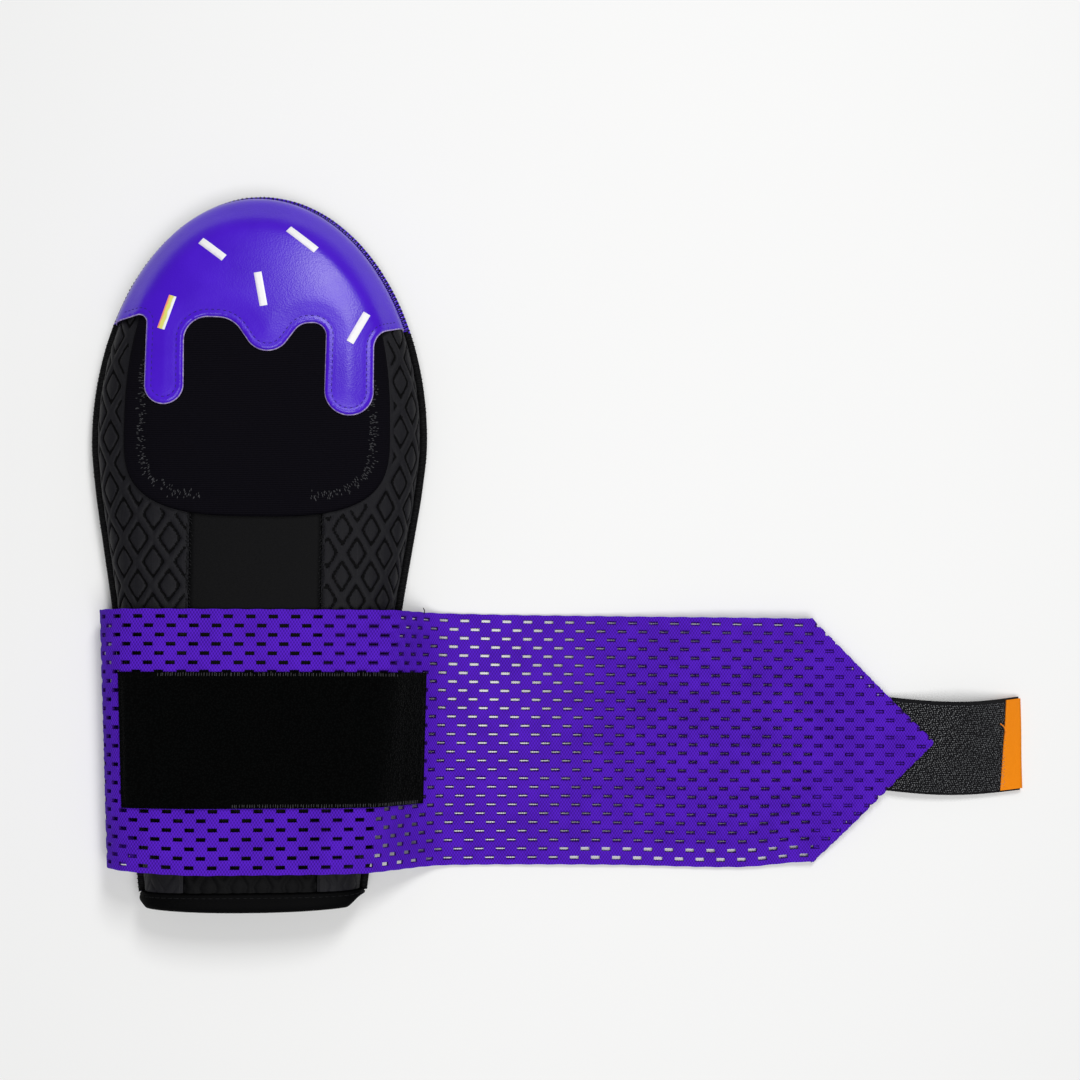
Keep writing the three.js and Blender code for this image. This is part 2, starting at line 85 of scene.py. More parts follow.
# The embossed lozenges of the side panels: shorter below a row (v) than above it, and wider on the left panel
LOZENGE = Sizes(low=18.3, high=20.2, band=1.75, groove=0.55, spread=0.5, crown=0.16)
LOZENGE_SIDES = {-1.0: Sizes(width=12.65, u=39.1, v=-32.0), 1.0: Sizes(width=11.5, u=50.45, v=-28.1)}

# The overlocked edge, whose core is vinyl above cap_y
OVERLOCK = Sizes(
    pitch=1.7, inset=1.55, reach=1.35, rise=1.15, threads=(0.26, 0.2), core=0.95, flat=1.55, cap_y=45.5)

# The hand pad and the finger cap. The cap's dripping edge runs left to right round circles: under each
# drip's tip, which has the vinyl inside (turn 1), and over the hollows between the drips (turn -1)
PAD = Sizes(half_width=51.4, up=84.0, down=32.7, power_up=2.5, power_down=3.0)
PAD_LIFT = Sizes(under=0.35, edge=0.9, border=2.3, middle=3.1)
PAD_STITCH = Sizes(inset=6.8, pitch=0.6, half=2.0, least_x=21.0, length=1.0, thread=0.14, kept=0.85)
CAP = Sizes(
    thickness=1.3, clear=0.35, border=2.5, puff=0.5, groove=0.12, rim_left=1.85, rim_right=0.75, rim=0.55)
CAP_STITCH = Sizes(pitch=2.3, thread=0.16, lift=0.05, fill=0.66)
CAP_EDGE = 0.9995
DRIPS = dict(
    x=(-70.0, -46.6, -35.8, -19.4, -15.7, 3.5, 19.9, 21.2, 35.3, 53.5, 72.0),
    y=(44.0, 42.7, 17.9, 35.7, 34.2, 40.7, 36.2, 38.4, 16.5, 34.2, 52.7),
    radius=(0.0, 3.6, 7.3, 9.4, 10.8, 8.7, 7.3, 5.2, 9.2, 9.0, 0.0),
    turn=(1, -1, 1, -1, -1, 1, -1, -1, 1, -1, 1),
)
SPRINKLE_WIDTH = 3.0
SPRINKLES = dict(
    x=(-18.4, 16.3, 0.7, -35.2, 38.7),
    y=(72.0, 77.1, 56.0, 46.3, 41.8),
    length=(11.9, 13.9, 13.7, 13.8, 13.7),
    angle=(-38.0, -38.0, -79.0, -108.0, -118.0),
    foil=("white", "white", "white", "warm", "white"),
)

# The strap's course: a column for each knot, at the far edge (finger side) and the near edge (wrist side)
STRAP_Y = -119.0
STRAP_HALF = 50.0
STRAP_THICKNESS = 1.25
STRAP_LEAST_Z = 0.12
STRAP_SHAPE = Sizes(stretch=0.008, skew=0.0085, skew_x=66.0, corner=2.2, sag=1.1, sag_x=187.0, tail=1.5)
STRAP_KNOTS = dict(
    x_far=(14, -18, -47, -57.4, -60.2, -58, -52, -42, 0, 40, 54,
           60.5, 66.5, 73, 84, 112, 150, 190, 224, 250, 262, 274),
    z_far=(.8, .8, .8, 4.4, 12, 18.6, 24.6, 27.4, 28, 27.7, 25.2,
           15.6, 6.2, 1.7, .8, 1, 3, 5.6, 6.2, 5.8, 7.2, 9.6),
    x_near=(12, -16, -42, -52.2, -55, -53, -47, -39, 0, 31, 43.5,
            54.5, 65, 73, 84, 112, 150, 190, 223, 250, 262, 274),
    z_near=(.8, .8, .8, 4.4, 12, 18.6, 24.6, 27.2, 28, 27.5, 24.8,
            15.6, 6.2, 1.7, .8, .8, .9, 1.2, 2.2, 5.2, 7.1, 9.6),
)
STRAP_ZERO_KNOT = 14
STRAP_BULGE = Sizes(height=2.6, start=105.0, full=185.0, fade=232.0, end=268.0)

# The strap's corners are folded under along the slanting edges of its point, from corner_x to tip_x
POINT = Sizes(corner_x=223.5, tip_x=273.4, tip_half=-0.4, bend=0.62)
SLOT = Sizes(
    pitch=8.55, row_pitch=3.5, rows=28, first_row=2.75, half_length=1.8, half_height=0.75,
    tooth=0.09, points=9, phase=81.11, dip=0.24)

# How the slots' columns lean, on the lying run and over the mitt, where they are also moved along
LEAN = Sizes(lying=0.026, over=-0.035, shift=1.25)

# Loop panel, hook tab and label
LOOP = Sizes(start=6.05, end=11.96, far=0.238, near=0.752, under=0.72, thickness=1.6, border=0.45)
TAB_Y = -121.4
TAB_HALF = 19.2
TAB_THICKNESS = 1.1
TAB_KNOTS = dict(
    x=(236, 250, 262, 274, 286, 298, 312.6),
    z_far=(1.1, 2.1, 4.4, 7.6, 9.6, 7.4, 2.4),
    z_near=(1.1, 2.1, 3.2, 3.0, 2.6, 2.2, 1.95),
)
TAB_BOW = Sizes(depth=2.0, start=20.0)
HOOK = Sizes(pitch_s=0.95, pitch_w=0.8, border=1.3, slant=0.55, height=0.6, thread=0.12, first=17.0)
HOOK_BEND = dict(x=(0.0, -0.05, 0.1, 0.34, 0.45), z=(0.0, 0.6, 1.0, 1.0, 0.75))
LABEL = Sizes(half_width=18.5, far=6.6, near=8.9, thickness=0.45)

# Colours of the foil bars, the vinyl's cut edge, the hooks and the table
PEARL, WHITE = (0.66, 0.62, 0.74), (0.84, 0.84, 0.85)
ORANGE, YELLOW = (0.95, 0.30, 0.20), (0.72, 0.70, 0.16)
CUT_DARK, CUT_LIGHT = (0.26, 0.16, 0.60), (0.62, 0.55, 0.80)
# HOOK_LIGHT is partly painted glint on the hooks
HOOK_DARK, HOOK_LIGHT = (0.03, 0.03, 0.034), (0.25, 0.26, 0.27)
PALE_LOW, PALE_HIGH = (0.865, 0.866, 0.862), (0.875, 0.875, 0.87)

# The photograph's camera and its light
CAMERA_PLACE = (0.0530, -0.0945, 0.6486)
CAMERA_TURN = dict(Z=-0.09, X=-4.92, Y=5.28)
CAMERA_LENS = 53.17
TABLE_HALF = 3000.0
SKY = 0.2
LIGHT_TARGET = (0.06, -0.06, 0.0)
LIGHTS = [
    dict(name="window", place=(0.28, 0.62, 1.05), width=0.27, height=0.46, power=6.6),
    dict(name="top", place=(0.16, -0.40, 1.22), width=0.75, height=0.75, power=9.9),
]


# Numbers

def smoothstep(low, high, value):
    t = np.clip((value - low) / (high - low), 0.0, 1.0)
    return t * t * (3.0 - 2.0 * t)


def bell(distance, width):
    return np.exp(-((distance / width) ** 2))


def unit(vectors):
    return vectors / np.linalg.norm(vectors, axis=-1, keepdims=True)


def spaced(turn):
    """Shares of the way out that lie closer together towards the steep edge of the front."""
    return np.sin(turn) ** (1 / 1.5)


def grid(first, second):
    return np.meshgrid(first, second, indexing="ij")


def rows_of(table):
    """A table's rows, from its named columns."""
    return [Sizes(**dict(zip(table, values))) for values in zip(*table.values())]


def curve_through(xs, ys):
    """A smooth curve through a table's values, level at its last row."""
    xs = np.asarray(xs, float)
    ys = np.asarray(ys, float)
    slopes = np.gradient(ys, xs)
    slopes[-1] = 0.0

    def value(x):
        x = np.clip(x, xs[0], xs[-1])
        k = np.clip(np.searchsorted(xs, x) - 1, 0, len(xs) - 2)
        step = xs[k + 1] - xs[k]
        t = (x - xs[k]) / step
        rise = t * t * (3.0 - 2.0 * t)
        start = t * (1.0 - t) ** 2 * step * slopes[k]
        end = t * t * (t - 1.0) * step * slopes[k + 1]
        return ys[k] + (ys[k + 1] - ys[k]) * rise + start + end

    return value


def centripetal(points, per_span):
    """Points along a centripetal Catmull-Rom curve through the given ones."""
    points = np.asarray(points, float)
    ends = np.vstack([2 * points[0] - points[1], points, 2 * points[-1] - points[-2]])
    t = np.linspace(0.0, 1.0, per_span, endpoint=False)[:, None]
    spans = []
    for i in range(1, len(ends) - 2):
        p0, p1, p2, p3 = ends[i - 1:i + 3]
        d0, d1, d2 = [np.linalg.norm(b - a) ** 0.5 for a, b in ((p0, p1), (p1, p2), (p2, p3))]
        t1 = ((p1 - p0) / d0 - (p2 - p0) / (d0 + d1) + (p2 - p1) / d1) * d1
        t2 = ((p2 - p1) / d1 - (p3 - p1) / (d1 + d2) + (p3 - p2) / d2) * d1
        square = 3 * (p2 - p1) - 2 * t1 - t2
        cube = 2 * (p1 - p2) + t1 + t2
        spans.append(p1 + t * t1 + t ** 2 * square + t ** 3 * cube)
    return np.vstack(spans + [points[-1:]])


def lengths_along(path):
    return np.concatenate([[0.0], np.cumsum(np.linalg.norm(np.diff(path, axis=0), axis=1))])


def picked(at, along, rows):
    """Rows of numbers, such as a path's places, at other lengths along it."""
    return np.column_stack([np.interp(at, along, column) for column in rows.T])


def resample(path, step):
    """The path again, with its points about a step apart."""
    along = lengths_along(path)
    count = max(int(round(along[-1] / step)), 2) + 1
    return picked(np.linspace(0.0, along[-1], count), along, path)


def closed(path):
    return np.vstack([path, path[:1]])


def distance_to_path(points, path):
    """The distance of each flat point from a flat path."""
    a = path[:-1]
    ab = path[1:] - a
    best = np.full(len(points), np.inf)
    for start in range(0, len(points), 4000):
        part = points[start:start + 4000, None, :]
        t = np.clip(((part - a) * ab).sum(-1) / (ab * ab).sum(-1), 0.0, 1.0)
        gap = np.linalg.norm(part - (a + t[..., None] * ab), axis=-1)
        best[start:start + 4000] = gap.min(axis=1)
    return best


def tangents_of(path):
    return unit(np.gradient(path, axis=0))


def left_of(path):
    """Flat directions to the left of a flat path."""
    heading = tangents_of(path)
    return np.column_stack([-heading[:, 1], heading[:, 0]])


# The pouch's surfaces

half_width = curve_through(SECTIONS.y, SECTIONS.half_width)
crest_height = curve_through(SECTIONS.y, SECTIONS.crest)
floor_curve = curve_through(SECTIONS.y, SECTIONS.floor)


def across_share(x, y, grow):
    """How far out a place is: 0 on the spine, 1 on the outline moved out by grow."""
    side = np.abs(x) / (half_width(y) + grow)
    tip = np.hypot(x / (WIDEST + grow), y / (TIP_Y + grow))
    return np.where(y < 0.0, side, tip)


def row_x(y, across, grow):
    """The x on a row of constant y where across_share has a given value."""
    side = across * (half_width(y) + grow)
    tip = (WIDEST + grow) * np.sqrt(np.maximum(across ** 2 - (y / (TIP_Y + grow)) ** 2, 0.0))
    return np.where(y < 0.0, side, tip)


def front_height(x, y, lift):
    across = across_share(x, y, lift - WALL_INSET)
    rise = np.maximum(1.0 - across ** SHOULDER_POWER, 0.0) ** (1.0 / SHOULDER_POWER)
    return FRONT_BASE_Z + (crest_height(y) + lift - FRONT_BASE_Z) * rise


def on_front(x, y, lift=0.0):
    return np.stack([x, y, front_height(x, y, lift)], axis=-1)


def palm_height(x, y, depth=0.0):
    across = across_share(x, y, -WALL_INSET - depth)
    turn = np.arcsin(np.clip((across - PALM_FLAT) / (1.0 - PALM_FLAT), 0.0, 1.0))
    low = np.maximum(floor_curve(y), 0.0) + depth
    return PALM_TOP_Z - (PALM_TOP_Z - low) * np.cos(turn)


def outline_path(grow, step):
    """The outline from the left of the wrist round the fingertips to its right."""
    rows = np.linspace(HEM_Y - 0.5, 0.0, 120)[:-1]
    left = np.column_stack([-(half_width(rows) + grow), rows])
    angle = np.linspace(-RIGHT_ANGLE, RIGHT_ANGLE, 240)
    fan = np.column_stack([np.sin(angle) * (WIDEST + grow), np.cos(angle) * (TIP_Y + grow)])
    return resample(np.vstack([left, fan, left[::-1] * (-1.0, 1.0)]), step)


def pad_level(x, y):
    reach = np.where(y > 0.0, PAD.up, PAD.down)
    power = np.where(y > 0.0, PAD.power_up, PAD.power_down)
    return (np.abs(x / PAD.half_width) ** power + np.abs(y / reach) ** power) ** (1.0 / power)


def pad_outline(columns):
    angle = np.linspace(0.0, FULL_TURN, columns, endpoint=False)
    x = np.sin(angle) * PAD.half_width
    y = np.cos(angle) * np.where(np.cos(angle) > 0.0, PAD.up, PAD.down)
    return np.column_stack([x, y]) / pad_level(x, y)[:, None]


# Meshes

def grid_faces(rows, columns, looped=False):
    """Quads of a grid of points, row by row. A looped grid joins its last row to its first."""
    i, j = grid(np.arange(rows if looped else rows - 1), np.arange(columns - 1))
    k = (i + 1) % rows
    corners = np.stack([i * columns + j, k * columns + j, k * columns + j + 1, i * columns + j + 1], axis=-1)
    return corners.reshape(-1, 4)


def ring_faces(rows, sides):
    """The faces of a row of rings of points, closed by flat ends."""
    faces = []
    for i in range(rows - 1):
        for j in range(sides):
            n = (j + 1) % sides
            faces.append((i * sides + j, i * sides + n, (i + 1) * sides + n, (i + 1) * sides + j))
    return faces + [tuple(reversed(range(sides))), tuple(range((rows - 1) * sides, rows * sides))]


def upward_normals(points):
    """Unit normals of a grid of points, on its upper side."""
    normal = np.cross(np.gradient(points, axis=0), np.gradient(points, axis=1))
    normal = normal / np.maximum(np.linalg.norm(normal, axis=-1, keepdims=True), 1e-9)
    return normal * np.sign(normal[..., 2:3] + 1e-9)


def open_edges(faces):
    """The directed edges that only one face has."""
    edges = set()
    for face in faces:
        edges.update(zip(face, face[1:] + face[:1]))
    return [(a, b) for a, b in edges if (b, a) not in edges]


def shell(top, bottom, faces):
    """A closed body from two layers of the same faces: its points, its faces, and how many are walls."""
    layers = [np.reshape(layer, (-1, 3)) for layer in (top, bottom)]
    count = len(layers[0])
    faces = [tuple(map(int, face)) for face in faces]
    under = [tuple(v + count for v in reversed(face)) for face in faces]
    walls = [(b, a, a + count, b + count) for a, b in sorted(open_edges(faces))]
    return np.vstack(layers), faces + under + walls, len(walls)


def two_layers(u, v):
    """The flat places of a shell's two layers."""
    return np.tile(np.column_stack([u.ravel(), v.ravel()]), (2, 1))


def tube(path, radius, sides, flat=1.0):
    """A tube along a path, wider by flat than it is high, with flat ends."""
    along = tangents_of(path)
    side = np.zeros_like(path)
    guide = UP if abs(along[0][2]) < 0.9 else np.array([1.0, 0.0, 0.0])
    for k, direction in enumerate(along):
        guide = unit(guide - direction * guide.dot(direction))
        side[k] = guide
    other = np.cross(along, side) * flat
    angle = np.linspace(0.0, FULL_TURN, sides, endpoint=False)
    ring = np.cos(angle)[:, None] * side[:, None, :] + np.sin(angle)[:, None] * other[:, None, :]
    return (path[:, None, :] + radius * ring).reshape(-1, 3), ring_faces(len(path), sides)


def scatter(points, faces, places, along, up):
    """Copies of a small mesh at many places, its x along and its z up."""
    side = unit(np.cross(up, along))
    axes = np.stack([along, side, np.cross(along, side)], axis=1)
    copies = np.einsum("pk,nkc->npc", points, axes) + places[:, None, :]
    moved = [tuple(v + n * len(points) for v in face) for n in range(len(places)) for face in faces]
    return copies.reshape(-1, 3), moved


def joined(*parts):
    """Several (points, faces) as one, with the index of the part that each face came from."""
    points, faces, source = [], [], []
    start = 0
    for index, (part_points, part_faces) in enumerate(parts):
        points.append(part_points)
        faces.extend(tuple(int(v) + start for v in face) for face in part_faces)
        source.extend([index] * len(part_faces))
        start += len(part_points)
    return np.vstack(points), faces, source


def mesh_object(name, points, faces, looks, uv=None, slots=None, sharp=50.0):
    """A smooth-shaded mesh. The uv is a flat place for each point, in millimetres, kept in centimetres."""
    mesh = bpy.data.meshes.new(name)
    mesh.from_pydata((np.asarray(points) * MM).tolist(), [], [list(map(int, face)) for face in faces])
    for look in looks:
        mesh.materials.append(look)
    if slots is not None:
        mesh.polygons.foreach_set("material_index", np.asarray(slots, dtype=np.int32))
    mesh.polygons.foreach_set("use_smooth", np.ones(len(mesh.polygons), dtype=bool))
    if uv is not None:
        corner = np.empty(len(mesh.loops), dtype=np.int32)
        mesh.loops.foreach_get("vertex_index", corner)
        layer = mesh.uv_layers.new(name="cloth")
        layer.data.foreach_set("uv", (np.asarray(uv)[corner] * 0.1).astype(np.float32).ravel())
    mesh.set_sharp_from_angle(angle=math.radians(sharp))
    mesh.update()
    obj = bpy.data.objects.new(name, mesh)
    bpy.context.scene.collection.objects.link(obj)
    return obj


def piece(name, mesh, looks, slot, *nodes, **details):
    """A piece of the mitt from its points and faces, in place of the given solids."""
    obj = mesh_object(name, *mesh[:2], looks, **details)
    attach(obj, "root")
    if nodes:
        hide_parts(*nodes)
    return obj


# Materials

class Shader:
    """One material's nodes, made a step at a time."""

    def __init__(self, name, roughness, specular, **sockets):
        self.material = bpy.data.materials.new(name)
        self.material.use_nodes = True
        self.tree = self.material.node_tree
        self.surface = self.tree.nodes["Principled BSDF"]
        sockets.update(Roughness=roughness, Specular_IOR_Level=specular)
        for socket, value in sockets.items():
            self.surface.inputs[socket.replace("_", " ")].default_value = value

    def node(self, kind, settings=None, **inputs):
        made = self.tree.nodes.new(kind)
        for key, value in (settings or {}).items():
            setattr(made, key, value)
        for key, value in inputs.items():
            socket = made.inputs[key.replace("_", " ")]
            if isinstance(value, bpy.types.NodeSocket):
                self.tree.links.new(value, socket)
            else:
                socket.default_value = value
        return made

    def link(self, output, socket):
        self.tree.links.new(output, self.surface.inputs[socket])

    def place(self, scale=(1.0, 1.0, 1.0), turn=0.0, flat=False):
        """Coordinates in metres of the part, or with flat in centimetres of cloth, stretched by scale."""
        source = self.node("ShaderNodeTexCoord").outputs["UV" if flat else "Object"]
        mapped = self.node("ShaderNodeMapping", Vector=source, Scale=scale, Rotation=(0.0, 0.0, turn))
        return mapped.outputs["Vector"]

    def noise(self, vector, scale, detail=3.0):
        made = self.node("ShaderNodeTexNoise", Vector=vector, Scale=scale, Detail=detail, Roughness=0.55)
        return made.outputs["Fac"]

    def cells(self, vector, scale):
        return self.node("ShaderNodeTexVoronoi", Vector=vector, Scale=scale).outputs["Distance"]

    def bands(self, vector, scale, distortion=0.0, direction="X"):
        settings = dict(bands_direction=direction)
        inputs = dict(Vector=vector, Scale=scale, Distortion=distortion, Detail=1.0)
        return self.node("ShaderNodeTexWave", settings, **inputs).outputs["Fac"]

    def sum(self, first, second, share=0.5):
        made = self.node("ShaderNodeMix", dict(data_type="FLOAT"), Factor=share, A=first, B=second)
        return made.outputs["Result"]

    def bump(self, height, depth):
        """Relief of a depth in millimetres."""
        made = self.node("ShaderNodeBump", Height=height, Strength=1.0, Distance=depth * MM)
        self.link(made.outputs["Normal"], "Normal")

    def covered(self, pattern, *stops, roughness=None, bump=None):
        """The material, its (position, colour) stops, roughness and relief following a pattern."""
        made = self.node("ShaderNodeValToRGB", Fac=pattern)
        ramp = made.color_ramp
        while len(ramp.elements) < len(stops):
            ramp.elements.new(0.5)
        for element, (position, colour) in zip(ramp.elements, stops):
            element.position = position
            element.color = (*colour, 1.0)
        self.surface.inputs["Base Color"].default_value = (*stops[-1][1], 1.0)
        self.link(made.outputs["Color"], "Base Color")
        if roughness:
            span = self.node("ShaderNodeMapRange", Value=pattern, To_Min=roughness[0], To_Max=roughness[1])
            self.link(span.outputs["Result"], "Roughness")
        if bump:
            self.bump(pattern, bump)
        return self.material


def vinyl_material():
    look = Shader("purple_vinyl", 0.32, 0.40)
    place = look.place()
    cloud = look.noise(place, 60.0, 4.0)
    look.bump(look.sum(look.cells(place, 1500.0), look.noise(place, 420.0), 0.45), 0.05)
    dark, light = (0.054, 0.002, 0.53), (0.064, 0.004, 0.59)
    return look.covered(cloud, (0.3, dark), (0.7, light), roughness=(0.26, 0.36))


def mesh_material(name, dark, light):
    look = Shader(name, 0.8, 0.06, Sheen_Weight=0.03, Sheen_Roughness=0.45, Sheen_Tint=(0.35, 0.25, 0.9, 1.0))
    yarn = look.sum(*[look.bands(look.place(turn=turn, flat=True), 3.2, 0.6) for turn in (0.6, -0.6)])
    look.bump(yarn, 0.14)
    return look.covered(look.sum(yarn, look.noise(look.place(), 90.0), 0.4), (0.25, dark), (0.7, light))


def embossed_material():
    look = Shader("embossed_neoprene", 0.5, 0.12)
    streak = look.bands(look.place(scale=(1.0, 0.04, 1.0), flat=True), 7.0, 2.5)
    mixed = look.sum(streak, look.noise(look.place(), 1300.0, 2.0))
    dark, light = (0.0041, 0.0040, 0.0053), (0.0108, 0.0105, 0.0136)
    return look.covered(mixed, (0.2, dark), (0.8, light), roughness=(0.42, 0.6), bump=0.09)


# shade scales the colours and gloss down: the smooth panels' own darker tone at 0.78, and painted shade for
# the lozenge grooves and the cuff hem
def smooth_material(name, shade):
    look = Shader(name, 0.6, 0.07 * shade)
    knit = look.noise(look.place(scale=(1.0, 2.2, 1.0)), 900.0)
    dark = np.array((0.0028, 0.0028, 0.0032)) * shade
    light = np.array((0.0062, 0.0062, 0.0068)) * shade
    return look.covered(knit, (0.25, dark), (0.75, light), roughness=(0.5, 0.7), bump=0.1)


def pad_material():
    look = Shader("pad_cloth", 0.85, 0.02)
    mixed = look.sum(look.bands(look.place(), 430.0, 1.2, "Y"), look.noise(look.place(), 1500.0, 2.0))
    return look.covered(mixed, (0.2, (0.0020, 0.0018, 0.0030)), (0.8, (0.0050, 0.0044, 0.0068)), bump=0.07)


def thread_material(name, dark, light, specular=0.2):
    look = Shader(name, 0.6, specular)
    return look.covered(look.noise(look.place(), 2600.0, 1.0), (0.3, dark), (0.7, light), bump=0.06)


def loop_material():
    look = Shader("loop_pile", 1.0, 0.0, Sheen_Weight=0.015)
    light, dark = (0.0035, 0.0038, 0.0038), (0.0012, 0.0013, 0.0013)
    return look.covered(look.cells(look.place(), 1300.0), (0.0, light), (0.6, dark), bump=0.5)


def tape_material():
    look = Shader("hook_tape", 0.6, 0.15)
    weave = look.bands(look.place(flat=True), 11.0, 0.5)
    return look.covered(weave, (0.2, (0.005, 0.005, 0.006)), (0.8, (0.012, 0.012, 0.014)), bump=0.15)


def label_material():
    look = Shader("orange_label", 0.6, 0.08)
    weave = look.sum(*[look.bands(look.place(flat=True), 13.0, 0.3, direction) for direction in "XY"])
    return look.covered(weave, (0.2, (0.92, 0.23, 0.004)), (0.7, (1.0, 0.31, 0.008)), bump=0.1)


def foil_material(name, *stops):
    """Pearly foil, its colours running across the bar's width."""
    look = Shader(name, 0.4, 0.4)
    flat = look.node("ShaderNodeTexCoord").outputs["UV"]
    across = look.node("ShaderNodeSeparateXYZ", Vector=flat).outputs["Y"]
    mottle = look.noise(look.place(), 700.0)
    look.bump(mottle, 0.04)
    return look.covered(look.sum(across, mottle, 0.3), *stops)


def speckled_material(name, roughness, specular, scale, *stops):
    look = Shader(name, roughness, specular)
    return look.covered(look.noise(look.place(), scale), *stops)


LOOKS = Sizes(
    vinyl=vinyl_material(),
    vinyl_edge=speckled_material("vinyl_cut_edge", 0.7, 0.2, 900.0, (0.35, CUT_DARK), (0.65, CUT_LIGHT)),
    mesh=mesh_material("purple_mesh", (0.043, 0.005, 0.25), (0.096, 0.014, 0.57)),
    # A darker copy of the mesh for the slot walls and cut edges: painted shade where the holes and edges fall
    # into shadow
    mesh_inside=mesh_material("purple_mesh_wall_shade", (0.022, 0.003, 0.10), (0.042, 0.006, 0.19)),
    embossed=embossed_material(),
    smooth=smooth_material("smooth_neoprene", 0.78),
    # A darker copy for the lozenge grooves: painted shade in the recesses
    groove=smooth_material("groove_shaded_neoprene", 0.5),
    # A darker copy for the cuff hem: painted shade, as the cuff lies partly in the strap's shadow and faces
    # away from the light
    cuff=smooth_material("cuff_shaded_neoprene", 0.4),
    pad=pad_material(),
    black_thread=thread_material("black_thread", (0.002, 0.002, 0.0025), (0.009, 0.009, 0.010), 0.1),
    grey_thread=thread_material("grey_thread", (0.010, 0.010, 0.012), (0.075, 0.075, 0.082)),
    purple_thread=thread_material("purple_thread", (0.012, 0.002, 0.10), (0.06, 0.02, 0.30)),
    orange_thread=thread_material("orange_thread", (0.7, 0.16, 0.004), (0.95, 0.30, 0.02)),
    loop=loop_material(),
    tape=tape_material(),
    # The hooks' pale grey is partly their own colour and partly painted glint, for the light flecks their
    # highlights make
    hook=speckled_material("hook_nylon_with_painted_glint", 0.35, 0.5, 900.0, (0.35, HOOK_DARK), (0.7, HOOK_LIGHT)),
    label=label_material(),
    white=foil_material("white_foil", (0.2, PEARL), (0.42, WHITE)),
    warm=foil_material("warm_foil", (0.24, ORANGE), (0.34, YELLOW), (0.58, YELLOW), (0.68, WHITE)),
    table=speckled_material("pale_table", 0.95, 0.0, 2.5, (0.3, PALE_LOW), (0.7, PALE_HIGH)),
)


# The pouch

def lozenge_relief(u, v, side):
    """The embossed lattice's height and its grooves, from 0 to 1, round the islands between flat bands."""
    at = LOZENGE_SIDES[side]
    p = (u - at.u) / at.width + 0.5
    q = (v - at.v) / np.where(v < at.v, LOZENGE.low, LOZENGE.high)
    spacing = 1.0 / math.hypot(1.0 / at.width, 1.0 / LOZENGE.low)
    gaps = [np.abs(line - np.round(line)) * spacing + 1e-3 for line in (p + q, p - q)]
    edge = (gaps[0] ** -5.0 + gaps[1] ** -5.0) ** -0.2
    groove = bell(edge - LOZENGE.band, LOZENGE.spread)
    return LOZENGE.crown * (bell(edge, 1.0) + smoothstep(2.2, 4.4, edge)) - LOZENGE.groove * groove, groove


def seam_dip(x):
    return -0.7 * bell(np.abs(x) - PANEL_SEAM_X, 0.9)


def row_places(fine, coarse, stops):
    """Values from one end to the other, with fine or coarse steps between the stops."""
    values = [np.array([stops[0][0]])]
    for (start, is_fine), (end, _) in zip(stops, stops[1:]):
        steps = max(int(round(abs(end - start) / (fine if is_fine else coarse))), 1)
        values.append(np.linspace(start, end, steps + 1)[1:])
    return np.concatenate(values)


def side_panel(side):
    columns = 124
    stops = [(PANEL_START, True), (-164.0, False), (-74.0, True), (50.0, False), (87.0, False)]
    y = row_places(0.5, 4.0, stops)
    first = across_share(PANEL_SEAM_X + 0.15, y, -WALL_INSET)
    turn = np.linspace(np.arcsin(first ** 1.5), np.full_like(first, RIGHT_ANGLE), columns, axis=1)
    rows = np.repeat(y[:, None], columns, axis=1)
    x = row_x(rows, spaced(turn), -WALL_INSET)
    base = on_front(x, rows)
    normal = upward_normals(base)
    steps = np.linalg.norm(np.diff(base, axis=1), axis=2)
    u = PANEL_SEAM_X + np.pad(np.cumsum(steps, axis=1), ((0, 0), (1, 0)))
    clear = smoothstep(1.01, 1.05, pad_level(x, rows)) * smoothstep(0.3, 2.0, x - PANEL_SEAM_X)
    clear = clear * (1.0 - 0.6 * smoothstep(-140.0, -155.0, rows))
    relief, groove = lozenge_relief(u, rows, side)
    top = base + normal * (relief * clear + seam_dip(x))[..., None]
    faces = grid_faces(len(y), columns)[:, ::-int(side)]
    # Faces along the middle of a groove take the darker neoprene, painted shade in the recess
    shaded_groove = (groove * clear).ravel()[faces].mean(axis=1) > 0.5
    points, faces, _ = shell(top, base - normal * WALL, faces)
    slots = np.pad(shaded_groove.astype(int), (0, len(faces) - len(shaded_groove)))
    name = "side_panel_right" if side > 0 else "side_panel_left"
    looks = [LOOKS.embossed, LOOKS.groove]
    mesh = (points * (side, 1.0, 1.0), faces)
    piece(f"{name}_cloth", mesh, looks, "embossed_neoprene", name, uv=two_layers(u, rows), slots=slots)


def centre_panel():
    columns = 74
    stops = [(PANEL_START, True), (-138.0, False), (-72.0, True), (-28.0, False), (0.0, False)]
    high = (TIP_Y - WALL_INSET) * spaced(np.linspace(0.04, 0.99, 26) * RIGHT_ANGLE)
    y = np.concatenate([row_places(0.8, 4.0, stops), high])
    reach = np.minimum(PANEL_SEAM_X - 0.15, row_x(y, CAP_EDGE, -WALL_INSET))
    x = np.linspace(-1.0, 1.0, columns)[None, :] * reach[:, None]
    rows = np.repeat(y[:, None], columns, axis=1)
    base = on_front(x, rows)
    normal = upward_normals(base)
    embossed = smoothstep(-140.0, -144.0, rows)
    relief = lozenge_relief(np.abs(x), rows, 1.0)[0] * embossed + seam_dip(x) * (rows < 60.0)
    faces = grid_faces(len(y), columns)[:, ::-1]
    mesh = shell(base + normal * relief[..., None], base - normal * WALL, faces)
    piece("centre_panel_cloth", mesh, [LOOKS.smooth], "smooth_neoprene", "centre_panel")


